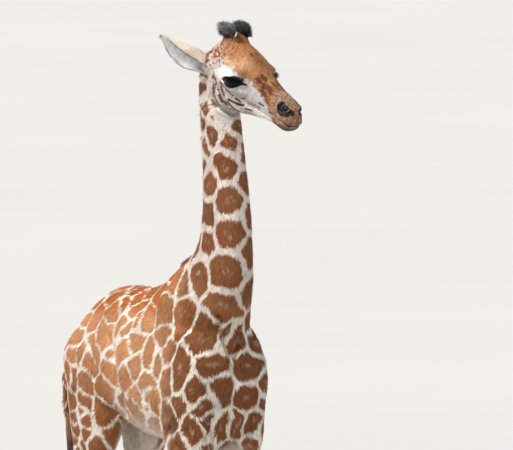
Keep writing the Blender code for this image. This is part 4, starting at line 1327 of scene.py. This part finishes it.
# %% [markdown]
# Hair has a lie. It runs back along the trunk and down the shoulder, haunch and legs, down the neck, and from
# the nose up over the face to the poll. Each part's direction is a plain vector, they are blended where the
# parts meet, and the result is laid flat on the skin.

# %% The lie and size of the hair
LIE = {"trunk": (0, 0.78, -0.62), "haunch": (0, 0.42, -0.90), "shoulder": (0, 0.22, -0.97),
       "belly": (0, 1.0, -0.10), "leg": (0, 0.10, -0.99), "neck": (0, 0.12, -0.99)}


def lie_of_hair(points, directions, where, ear, rng):
    nose, left, crown = (head_place(points) * 1000).T
    parts = {**where, "shoulder": where["trunk"] * rise(-points[:, 1], 0.04, 0.14)}
    flow = np.tile(LIE["trunk"], (len(points), 1)).astype(float)
    for part in list(LIE)[1:]:
        flow = lay(flow, np.array(LIE[part], float), parts[part])
    cheek = rise(-crown, -10, 40) * fall(nose, 90, 120)
    crest = 1.6 * rise(crown, 44, 60) * (nose < -30)
    face = -NOSEWARD[None] - CROWNWARD * 0.5 * cheek[:, None] + CROWNWARD * crest[:, None]
    flow = lay(flow, face, where["head"])
    for side in (-1, 1):
        flow = lay(flow, EAR_AXIS[side], ear * (left * side > 0))
    flow += directions * 1e-6 + np.array((0, 0.08, -0.02))
    flow = unit(flow - directions * (flow * directions).sum(1)[:, None])
    turn = 0.30 * ripple(points, 0.07, 61) + rng.normal(0, 0.16, len(points))
    turn += where["head"] * rise(nose, 100, 130) * 0.6 * ripple(points, 0.012, 62)
    return flow * np.cos(turn)[:, None] + np.cross(directions, flow) * np.sin(turn)[:, None]


def hair_size(points, where, ear):
    """Length and width of the tufts."""
    nose = head_place(points)[:, 0] * 1000
    long = 0.0135 + 0.0030 * where["belly"] - 0.0020 * where["neck"] - 0.0030 * where["leg"]
    long -= 0.0035 * fall(points[:, 2], 0.20, 0.45)
    wide = 0.0023 - 0.0002 * where["leg"] - 0.0003 * where["neck"]
    face = 0.0070 - 0.0030 * rise(nose, 0, 60)
    on_face = np.maximum(where["head"], ear)
    return long + (face - long) * on_face, wide + (0.00105 - wide) * on_face


print("lie and size ready")

# %% [markdown]
# Roots are strewn over the skin's triangles, by their area and by how small the hair is there. Bare skin gets
# none. A tuft takes the colour that the markings have under its middle, with a little scatter, so the edge of a
# patch is toothed with hair. On the neck and chest the hair at the middle of a patch swirls and shows its pale
# base.

# %% Measure the skin's triangles
TOP_OF_HOOF = 0.066
skin.data.calc_loop_triangles()
corners = np.empty(len(skin.data.loop_triangles) * 3, np.int32)
skin.data.loop_triangles.foreach_get("vertices", corners)
corners = corners.reshape(-1, 3)
a, b, c = (points[corners[:, k]] for k in range(3))
area = np.linalg.norm(np.cross(b - a, c - a), axis=1) / 2
centre = (a + b + c) / 3
centre_ear = on_ear[corners].min(1).astype(float)
centre_where = region_masks(centre)
long, wide = hair_size(centre, centre_where, centre_ear)
crowding = area / (long * wide) * (bare[corners].max(1) < 0.35) * (centre[:, 2] > TOP_OF_HOOF)
crowding *= 1 - 0.6 * centre_ear
deepest = np.full(len(middles), 0.001)
np.maximum.at(deepest, patch_of, body_depth)
print(f"{len(corners)} triangles of skin, {area.sum():.2f} square metres")

# %% Strew roots, read the markings and join copies
def strewn(weights, count, rng):
    """Random triangles, by weight: the numbers of their corners, and each spot's share of the three."""
    total = np.cumsum(weights)
    found = np.searchsorted(total, np.sort(rng.uniform(0, total[-1], count)))
    u, v = rng.uniform(size=(2, count))
    flip = u + v > 1
    u, v = np.where(flip, 1 - u, u), np.where(flip, 1 - v, v)
    return corners[np.minimum(found, len(total) - 1)], np.stack([1 - u - v, u, v], 1)[:, :, None]


def hide_at(places, directions):
    """The markings at any places, the body's masks, and how near a patch's middle each place is."""
    depth, patch_of, where = patch_depth(places, directions)
    ground, patch = body_colours(places, directions, depth, patch_of, where)
    fore = np.maximum(where["neck"], rise(-places[:, 1], 0.10, 0.20) * where["trunk"])
    heart = rise(depth / deepest[patch_of], 0.72, 0.98) * fore * (1 - where["head"])
    return *paint_head(places, ground, patch, depth), where, heart


def unwrap(places, centre, axis, forward):
    """A wrap round an axis: share of the turn, and share of the way along."""
    axis = unit(axis)
    forward = unit(np.asarray(forward, float) - axis * (axis @ np.asarray(forward, float)))
    across = np.cross(axis, forward)
    rel = places - centre
    turn = np.arctan2(rel @ across, rel @ forward) / (2 * math.pi) + 0.5
    along = rel @ axis
    return np.column_stack([0.02 + 0.96 * turn, 0.02 + 0.96 * (along - along.min()) / max(np.ptp(along), 1e-6)])


def joined_copies(name, spots, pattern):
    """One mesh of many copies of a pattern, fast, from every copy's points; also each corner's point."""
    count, per = spots.shape[:2]
    loops = (np.array(pattern)[None] + per * np.arange(count)[:, None, None]).astype(np.int32).ravel()
    mesh = bpy.data.meshes.new(name)
    mesh.vertices.add(count * per)
    mesh.vertices.foreach_set("co", spots.astype(np.float32).ravel())
    mesh.loops.add(len(loops))
    mesh.loops.foreach_set("vertex_index", loops)
    mesh.polygons.add(len(loops) // 3)
    mesh.polygons.foreach_set("loop_start", np.arange(0, len(loops), 3, dtype=np.int32))
    mesh.update(calc_edges=True)
    return set_down(name, mesh), loops


def store_unwrap(piece, uv, loops):
    uv_map = piece.data.uv_layers.new(name="OFBake")
    uv_map.data.foreach_set("uv", uv.reshape(-1, 2)[loops].astype(np.float32).ravel())


print("ready to strew")

# %% Build the tufts of one body part
EDGE_SCATTER, FULL = 0.0012, 0.012       # how ragged a patch's edge is, and a depth that is surely inside
TUFT_SPREAD = np.array([(0, 0.0015), (-0.0015, -0.0015), (0.0015, -0.0015), (0, 0.0005)])


def grow_coat(name, chosen, count, wrap, seed):
    rng = np.random.default_rng(seed)
    at, share = strewn(crowding * chosen, count, rng)
    roots = (points[at] * share).sum(1)
    up = unit((directions[at] * share).sum(1))
    ear = (on_ear[at][:, :, None] * share).sum(1)[:, 0]
    where = region_masks(roots)
    flow = lie_of_hair(roots, up, where, ear, rng)
    long, wide = hair_size(roots, where, ear)
    long = long * rng.uniform(0.75, 1.25, count)
    tuft_ground, tuft_patch, depth, tuft_bare, where, heart = hide_at(roots + flow * (long * 0.5)[:, None], up)
    tuft_ground = np.where(ear[:, None] > 0.5, (ground[at] * share).sum(1), tuft_ground)
    depth = depth + rng.normal(0, 1, count) * (EDGE_SCATTER - 0.0007 * where["head"])
    depth = np.where(np.abs(depth) < 0.0002, depth, np.sign(depth) * FULL)
    depth = np.where(ear > 0.5, NO_MARK, depth)
    fleck = heart * (rng.uniform(size=count) < 0.36 + 0.25 * ripple(roots, 0.02, 71))
    tuft_patch = wash(tuft_patch, ((212, 186, 164), fleck * 0.5))
    tilt = np.radians(np.clip(rng.normal(7.5, 2.5, count), 3, 16) + 9 * heart)
    lean = flow * np.cos(tilt)[:, None] + up * np.sin(tilt)[:, None]
    across = np.cross(up, flow)
    thick = 0.15 * wide
    spots = roots[:, None] - up[:, None] * (thick * 0.4)[:, None, None]
    for column, way, size in ((0, across, wide / 2), (1, up, thick), (2, lean, long)):
        spots = spots + way[:, None] * (tuft_points[None, :, column] * size[:, None])[:, :, None]
    piece, loops = joined_copies(name, spots, tuft_faces)
    facing = unit(up + across * rng.normal(0, 0.20, (count, 1)) + flow * rng.normal(0.10, 0.14, (count, 1)))
    piece.data.normals_split_custom_set_from_vertices(np.repeat(facing, 4, 0))
    shade = np.clip(rng.normal(0, 0.36, count) + 0.20 * ripple(roots, 0.012, 72), -0.9, 0.9)
    shade = shade[:, None] + np.where(tuft_points[None, :, 2] > 0.5, 0.14, -0.12)
    layers = (np.repeat(values, 4, 0)
              for values in (depth, tuft_ground, tuft_patch, np.minimum(tuft_bare, 0.2)))
    store_coat(piece, *layers, shade.ravel())
    store_unwrap(piece, wrap(roots)[:, None] + TUFT_SPREAD[None], loops)
    piece.data.materials.append(coat)
    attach(piece, "root")
    return piece


print("ready to grow")

# %% [markdown]
# The coat is made part by part, each with its own unwrap round the axis of that part.

# %% Grow the coat
_, y, z = centre.T
on_head_part = (centre_where["head"] > 0.5) | (centre_ear > 0.5)
on_left = head_place(centre)[:, 1] > 0
on_neck = ~on_head_part & (centre_where["neck"] > 0.5)
on_leg = ~on_head_part & (z < 0.78) & ((y < -0.06) | (y > 0.12))
on_trunk = ~on_head_part & ~on_neck & ~on_leg
FORWARD = (0, -1, 0)


def wrapped(centre, axis, forward):
    return lambda places: unwrap(places, centre, axis, forward)


def two_legs(middle_y):
    """The right legs go on the left half of the sheet, and the left legs on the right half."""
    def wrap(places):
        sheet = np.zeros((len(places), 2))
        for side in (-1, 1):
            mine = (places[:, 0] - MIDLINE) * side > 0
            if mine.any():
                one = unwrap(places[mine], (MIDLINE + side * 0.075, middle_y, 0), UP, FORWARD)
                sheet[mine] = one * (0.49, 1) + (0.5 * (side > 0), 0)
        return sheet
    return wrap


head_wrap = wrapped(BETWEEN_EYES - CROWNWARD * 0.02, NOSEWARD, CROWNWARD)
trunk_wrap = wrapped((MIDLINE, 0.0, 0.96), (0, 1, 0), UP)
PARTS = [
    ("coat_head_right", on_head_part & ~on_left, 46000, head_wrap),
    ("coat_head_left", on_head_part & on_left, 40000, head_wrap),
    ("coat_neck", on_neck, 45000, wrapped((MIDLINE, -0.22, 0), UP, FORWARD)),
    ("coat_shoulders", on_trunk & (y < -0.10), 44000, wrapped((MIDLINE, -0.16, 0), UP, FORWARD)),
    ("coat_barrel", on_trunk & (y >= -0.10) & (y < 0.12), 38000, trunk_wrap),
    ("coat_haunches", on_trunk & (y >= 0.12), 44000, trunk_wrap),
    ("coat_forelegs", on_leg & (y < 0), 49000, two_legs(-0.17)),
    ("coat_hindlegs", on_leg & (y > 0), 49000, two_legs(0.30))]
for seed, (name, chosen, count, wrap) in enumerate(PARTS, 100):
    grow_coat(name, chosen, count, wrap, seed)
    print(f"{name}: {count} tufts, {count * 0.5 / crowding[chosen].sum():.1f} layers")

# %% [markdown]
# ## Long hair
# Mane, tail, horn tufts and lashes are longer locks that bend, so they need joints along their length. One lock
# is modelled as a three-sided spike cut across at four places. Each copy then follows its own curve.

# %% Model one long lock
pattern = new_spike()
bpy.ops.object.mode_set(mode="EDIT")
for cut in (0.2, 0.4, 0.6, 0.8):
    bpy.ops.mesh.select_all(action="SELECT")
    bpy.ops.mesh.bisect(plane_co=(0, 0, cut), plane_no=(0, 0, 1))
bpy.ops.mesh.select_all(action="SELECT")
bpy.ops.mesh.quads_convert_to_tris()
bpy.ops.object.mode_set(mode="OBJECT")
lock_points, lock_faces = taken_apart(pattern)
print("one lock:", len(lock_points), "points,", len(lock_faces), "faces")

# %% Set locks along curves
def hair_finish(name, roughness, gloss):
    made, tree, surface = new_finish(name)
    strands = between(tree, noise(tree, place_in(tree), 900, 3), 0.25, 0.75, 0.80, 1.20)
    feed(tree, surface["Base Color"], shaded(tree, layer(tree, "hair_colour", "Color"), strands))
    surface["Roughness"].default_value = roughness
    surface["Specular IOR Level"].default_value = gloss
    return made


def set_locks(name, roots, up, flow, bend, long, wide, colours, finish, uv):
    """Joins bent locks: flow is where each sets off, bend is how it turns away, colours are at root and tip."""
    along = lock_points[:, 2]
    thin = np.where(along < 1, 1 / np.maximum(1 - along, 0.1), 0)
    body = thin * np.minimum(1, 0.55 + 2.4 * along) * np.maximum(1 - along, 0) ** 0.55 * wide
    flow = unit(flow)
    across = unit(np.cross(up, flow))
    spots = (roots[:, None] + (flow * long[:, None])[:, None] * along[None, :, None]
             + (bend * long[:, None])[:, None] * (along ** 2)[None, :, None])
    for column, way, share in ((0, across, 2), (1, np.cross(flow, across), 3)):
        spots = spots + way[:, None] * (lock_points[:, column] * body / share)[None, :, None]
    piece, loops = joined_copies(name, spots, lock_faces)
    at_root, at_tip = colours
    mixed = at_root[:, None] + (at_tip - at_root)[:, None] * along[None, :, None]
    write_attribute(piece, "hair_colour", np.dstack([mixed, np.ones(mixed.shape[:2])]), "FLOAT_COLOR")
    spread = np.column_stack([lock_points[:, 0] * 0.0012, along * 0.0024 - 0.0012])
    store_unwrap(piece, uv[:, None] + spread[None], loops)
    piece.data.materials.append(finish)
    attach(piece, "root")
    return piece


def strew(chosen, count, rng):
    """Random roots on chosen triangles of the skin, with the skin's facing there."""
    at, share = strewn(area * chosen, count, rng)
    return (points[at] * share).sum(1), unit((directions[at] * share).sum(1))


def shades(colour, spread, count, rng):
    return tint(*colour)[None] * np.clip(1 + rng.normal(0, spread, count), 0.4, 1.8)[:, None]


def margined(share):
    """A share of the sheet that leaves a margin."""
    return 0.02 + 0.96 * share


SIDES = {-1: "right", 1: "left"}
black_hair = hair_finish("black_hair", 0.42, 0.45)
print("locks ready")

# %% [markdown]
# The mane is a stiff brush, two fingers' breadth high at most, that stands on the crest of the neck from the
# poll to the withers and thins out at both ends. It is redder than the patches, and darker at its tips.

# %% Plant the mane
MANE = np.array([  # back from the front, up, height of the hair
    (-0.163, 1.752, 0.014), (-0.125, 1.710, 0.026), (-0.127, 1.630, 0.030), (-0.139, 1.530, 0.031),
    (-0.145, 1.435, 0.031), (-0.143, 1.350, 0.031), (-0.133, 1.290, 0.027), (-0.100, 1.246, 0.020),
    (-0.045, 1.222, 0.012)])
MANE_LOCKS, MANE_WIDTH, MANE_HALF = 4100, 0.0018, 0.0105


def numbered(rows, steps):
    """Rows spread evenly along a list of places."""
    return through(np.column_stack([np.arange(len(rows)), rows]), steps)[:, 1:]


crest = numbered(MANE, 120)


def nearest_on_crest(places):
    gap = ((places[:, None, 1:] - crest[None, :, :2]) ** 2).sum(2)
    return gap.argmin(1), np.sqrt(gap.min(1))


def plant_mane(count):
    rng = np.random.default_rng(301)
    near = (np.abs(centre[:, 0] - MIDLINE) < MANE_HALF) & (centre[:, 2] > 1.18) & (centre_ear < 0.5)
    _, gap = nearest_on_crest(np.where(near[:, None], centre, 9))
    facing = unit(directions[corners].mean(1))
    roots, up = strew(near & (gap < 0.026) & (facing[:, 1] + facing[:, 2] > 0.35), count, rng)
    at, _ = nearest_on_crest(roots)
    run, climb = np.gradient(crest[:, 0])[at], np.gradient(crest[:, 1])[at]
    down_crest = unit(np.column_stack([np.zeros(count), run, climb]))
    outward = unit(np.column_stack([up[:, 0] * 0.35, up[:, 1:]]))
    flow = outward + down_crest * rng.normal(0.25, 0.16, (count, 1)) + rng.normal(0, 0.09, (count, 3))
    bend = down_crest * rng.normal(0.16, 0.10, (count, 1))
    edge = 1 - 0.45 * rise(np.abs(roots[:, 0] - MIDLINE), 0.005, MANE_HALF)
    long = (crest[at, 2] + 0.003) * edge * rng.uniform(0.82, 1.10, count)
    colours = shades((146, 82, 46), 0.16, count, rng), shades((92, 50, 32), 0.22, count, rng)
    uv = np.column_stack([0.4 + (roots[:, 0] - MIDLINE) * 8, margined(at / len(crest))])
    piece = set_locks("mane_locks", roots - up * 0.0008, -down_crest, flow, bend, long, MANE_WIDTH, colours,
                      hair_finish("mane_hair", 0.62, 0.3), uv)
    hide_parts("mane")
    return piece


mane_locks = plant_mane(MANE_LOCKS)
print("mane:", len(mane_locks.data.polygons), "faces")

# %% [markdown]
# A calf is born with its horns lying flat, and each wears a crest of long black hair that the wind parts. The
# locks spring from the top and sides of the horn, rise, and sweep back. The right one has pale grey painted into
# its hair, a painted highlight.

# %% Crown the horns
HORN_LOCKS, HORN_WIDTH = 1250, 0.0019


def horn_place(places, side):
    """The horn's own direction, how high each place is along it, and how far away from it."""
    axis = unit(CROWNWARD * 0.92 - NOSEWARD * 0.20 + LEFTWARD * 0.03 * side)
    rel = places - on_head(-0.086, 0.0215 * side, 0.052)
    high = rel @ axis
    return axis, high, rel - high[:, None] * axis


def crown_horn(side, count):
    rng = np.random.default_rng(310 + side)
    axis, high, away = horn_place(centre, side)
    inner = -(away @ LEFTWARD) * side
    chosen = (np.linalg.norm(away, axis=1) < 0.021) & (head_place(centre)[:, 1] * side > 0)
    chosen &= (high > 0.020 + 0.6 * np.maximum(inner, 0)) & (high < 0.05)
    roots, up = strew(chosen, count, rng)
    _, high, away = horn_place(roots, side)
    outwards = away / 0.016
    top, clump = rise(high, 0.020, 0.034), ripple(roots, 0.006, 312)
    column = top[:, None]
    swept = (-NOSEWARD * (0.34 if side < 0 else 0.62 * column - 0.12)
             + LEFTWARD * side * (0.02 if side < 0 else 0.10))
    flow = (axis * (0.66 + 0.30 * column) + outwards * 0.62 + swept + clump[:, None] * 0.10 * NOSEWARD
            + rng.normal(0, 0.11, (count, 3)))
    bend = -outwards * 0.16 + swept * 0.5 - CROWNWARD * (0.46 + 0.10 * clump[:, None])
    long = (0.018 + 0.023 * top + 0.003 * clump) * rng.uniform(0.75, 1.12, count)
    long *= 1 - 0.40 * rise(-away @ LEFTWARD * side, 0.004, 0.012)
    # pale is a painted highlight: grey painted into the right tuft's hair, hardly any into the left one's.
    pale = rise(clump + 1.2 * top, 0.2, 1.6) * (0.9 if side < 0 else 0.06)
    base, tip = shades((22, 20, 22), 0.2, count, rng), shades((26, 25, 28), 0.35, count, rng)
    tip = wash(tip, ((168, 168, 174), pale * rng.uniform(0.3, 1, count)))
    base = wash(base, ((96, 94, 99), pale * 0.7))
    turn = np.arctan2(outwards @ LEFTWARD, outwards @ NOSEWARD) / (2 * math.pi) + 0.5
    uv = np.column_stack([margined(turn), margined(high / 0.05)])
    piece = set_locks("horn_hair_" + SIDES[side], roots, up, flow, bend, long, HORN_WIDTH, (base, tip),
                      black_hair, uv)
    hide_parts("ossicone_tuft_" + ("left" if side > 0 else "right"))
    return piece


horn_hair = [crown_horn(side, HORN_LOCKS) for side in (-1, 1)]
print("horn tufts:", sum(len(p.data.polygons) for p in horn_hair), "faces")

# %% [markdown]
# The tail ends in a switch of long black hair, many times longer than the tail is thick. Its locks start brown
# on the last hand's breadth of the dock, run straight down, and gather to a point.

# %% Hang the switch of the tail
TAIL_LINE = np.array([  # along x, y and z where the dock runs out, and how wide the hair is
    (-0.0496, 0.4713, 0.815, 0.0080), (-0.0480, 0.4680, 0.760, 0.0092), (-0.0456, 0.4650, 0.725, 0.0108),
    (-0.0406, 0.4623, 0.700, 0.0150), (-0.0356, 0.4603, 0.650, 0.0175), (-0.0326, 0.4593, 0.600, 0.0150),
    (-0.0316, 0.4593, 0.555, 0.0095), (-0.0316, 0.4593, 0.525, 0.0030)])
TAIL_LOCKS, TAIL_WIDTH, TAIL_STEPS = 900, 0.0030, 90


def hang_switch(count):
    rng = np.random.default_rng(320)
    line = numbered(TAIL_LINE, TAIL_STEPS)
    start = (rng.uniform(0, 1, count) ** 0.8 * 50).astype(int)
    stop = np.minimum(start + rng.integers(26, 60, count), TAIL_STEPS - 1)
    turn, deep = rng.uniform(0, 2 * math.pi, count), np.sqrt(rng.uniform(0.25, 1, count))
    ring = np.column_stack([np.cos(turn), np.sin(turn), np.zeros(count)])

    def around(step, share):
        return line[step, :3] + ring * (line[step, 3] * deep * share)[:, None]

    roots, tips = around(start, 0.88), around(stop, rng.uniform(0.5, 1.0, count))
    span = tips - roots
    reach = np.linalg.norm(span, axis=1)[:, None]
    bow = (around((start + stop) // 2, 1) - (roots + tips) / 2) / reach
    flow = span / reach + 4 * bow * 0.6
    size = np.linalg.norm(flow, axis=1)[:, None]
    bend = (span / reach - flow) / size
    dark = fall(roots[:, 2], 0.70, 0.80)[:, None]
    base = shades((150, 98, 64), 0.15, count, rng) * (1 - dark) + shades((30, 25, 25), 0.25, count, rng) * dark
    tip = shades((24, 21, 22), 0.30, count, rng)
    uv = np.column_stack([margined(turn / (2 * math.pi)), margined(start / TAIL_STEPS)])
    piece = set_locks("tail_switch", roots, ring, flow, bend, (reach * size)[:, 0], TAIL_WIDTH, (base, tip),
                      black_hair, uv)
    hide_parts("tail_tuft")
    return piece


tail_switch = hang_switch(TAIL_LOCKS)
lowest = points_of(tail_switch)[:, 2].min()
print("switch:", len(tail_switch.data.polygons), "faces, down to", round(float(lowest), 3))

# %% [markdown]
# Long, thick lashes shade a giraffe's eye. They grow in several rows from the edge of the upper lid, longest
# towards the nose, and droop over the eye. A few short ones line the lower lid.

# %% Set the lashes
UPPER_LASHES, LOWER_LASHES, LASH_WIDTH = 340, 40, 0.0011


def set_lashes(side):
    rng = np.random.default_rng(330 + side)
    along, up, level = eye_place(points, side)
    near_edge = np.abs(opening_distance(along, up)) < 0.0022
    rim = np.flatnonzero(near_edge & (level > -0.012) & (np.abs(along) < 0.039))
    outwards = LEFTWARD * side
    locks = []
    for above, count in ((True, UPPER_LASHES), (False, LOWER_LASHES)):
        edge = rim[(up[rim] > 0.08 * along[rim]) == above]
        first, last = (-0.022, 0.037) if above else (-0.012, 0.022)
        for spot in rng.uniform(first, last, count):
            k = edge[np.abs(along[edge] - spot + rng.normal(0, 0.0008)).argmin()]
            forwards = (spot - first) / (last - first)
            rows = 0.0007 + 0.0020 * rise(forwards, 0.45, 0.8) * above
            root = points[k] + EYE_UP * abs(rng.normal(0, rows)) * (1 if above else -1)
            spread = rng.normal(0, 0.14, 3)
            if above:
                lift = 0.25 + 0.85 * rise(forwards, 0.3, 0.65)
                flow = outwards * (1.0 - 0.4 * forwards) + EYE_LINE * (1.0 * forwards - 0.12) + EYE_UP * lift
                bend = -EYE_UP * (0.30 + 0.20 * forwards) + EYE_LINE * 0.12 * forwards
                long = (0.008 + 0.013 * rise(forwards, 0.25, 0.65)) * rng.uniform(0.8, 1.15)
            else:
                flow, bend = outwards + EYE_LINE * 0.3 - EYE_UP * 0.5, EYE_UP * 0.2
                long = 0.0055 * rng.uniform(0.8, 1.2)
            locks.append((root, flow + spread, bend, long))
    roots, flow, bend, long = (np.array(v) for v in zip(*locks))
    count = len(roots)
    colours = shades((16, 13, 13), 0.3, count, rng), shades((30, 22, 20), 0.3, count, rng)
    uv = np.column_stack([np.linspace(0.05, 0.95, count), np.full(count, 0.5)])
    return set_locks("lashes_" + SIDES[side], roots, np.tile(EYE_UP, (count, 1)), flow, bend, long, LASH_WIDTH,
                     colours, black_hair, uv)


lashes = [set_lashes(side) for side in (-1, 1)]
print("lashes:", sum(len(p.data.polygons) for p in lashes), "faces")

# %% [markdown]
# ## Hooves
# Each foot stands on two toes of dark horn. Horn grows down from the hair line in fine level rings, splays a
# little at the sole and wears to a dull edge. The eight toes of the CAD are copied, welded and rounded, and the
# rings are raised on a denser mesh.

# %% Finish the toes
RING_STEP, RING_HEIGHT = 0.0052, 0.00028


def horn_finish():
    made, tree, surface = new_finish("hoof_horn")
    place = place_in(tree)
    height = add_node(tree, "SeparateXYZ", "Z", {"Vector": place})
    wander = arithmetic(tree, "MULTIPLY_ADD", noise(tree, place, 30, 2), 0.010, height)
    rings = arithmetic(tree, "SINE", arithmetic(tree, "MULTIPLY", wander, 1500.0))
    grain = noise(tree, place, 160, 4)
    shade = arithmetic(tree, "MULTIPLY_ADD", rings, 0.10, grain)
    dark = blend(tree, between(tree, shade, 0.25, 0.8), opaque(44, 34, 30), opaque(88, 70, 58))
    dust = between(tree, height, 0.0, 0.014, 0.55, 0.0)
    feed(tree, surface["Base Color"], blend(tree, dust, dark, opaque(136, 118, 98)))
    feed(tree, surface["Roughness"], between(tree, grain, 0.3, 0.7, 0.42, 0.62))
    roughen(tree, surface, shade, 0.6, 0.0005)
    return made


def toe(node, finish):
    piece = set_down(node.replace("hoof", "toe"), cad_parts[node].data.copy())
    with editing(piece):
        bpy.ops.mesh.remove_doubles(threshold=WELD)
        bpy.ops.mesh.tris_convert_to_quads()
    apply_modifier(piece, "BEVEL", width=0.0016, segments=2, limit_method="ANGLE", angle_limit=math.radians(40))
    apply_modifier(piece, "REMESH", mode="VOXEL", voxel_size=0.0020)
    spots = smooth(points_of(piece), edges_of(piece), 8, 1.0, 0.5, 0.52)
    away = normals_of(piece)
    level = np.sqrt(np.clip(1 - away[:, 2] ** 2, 0, 1))
    ring = np.sin(spots[:, 2] * 2 * math.pi / RING_STEP + 0.8 * ripple(spots, 0.03, 81))
    spots += away * (RING_HEIGHT * ring * level * rise(spots[:, 2], 0.004, 0.012))[:, None]
    spots[:, 2] = np.maximum(spots[:, 2], 0)
    put_points(piece, spots)
    bpy.ops.object.shade_smooth()
    piece.data.materials.clear()
    piece.data.materials.append(finish)
    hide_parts(node)
    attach(piece, "root")
    return piece


horn = horn_finish()
toes = [toe(name, horn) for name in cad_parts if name.startswith("hoof_")]
print(len(toes), "toes,", sum(len(t.data.polygons) for t in toes), "faces")

# %% [markdown]
# ## The whole calf
# Every piece rides on the one body, and the skin stands for the soft solids. The box of the CAD is printed.

# %% Finish
print("cad", [round(v, 4) for v in (*cad_low, *cad_high)])
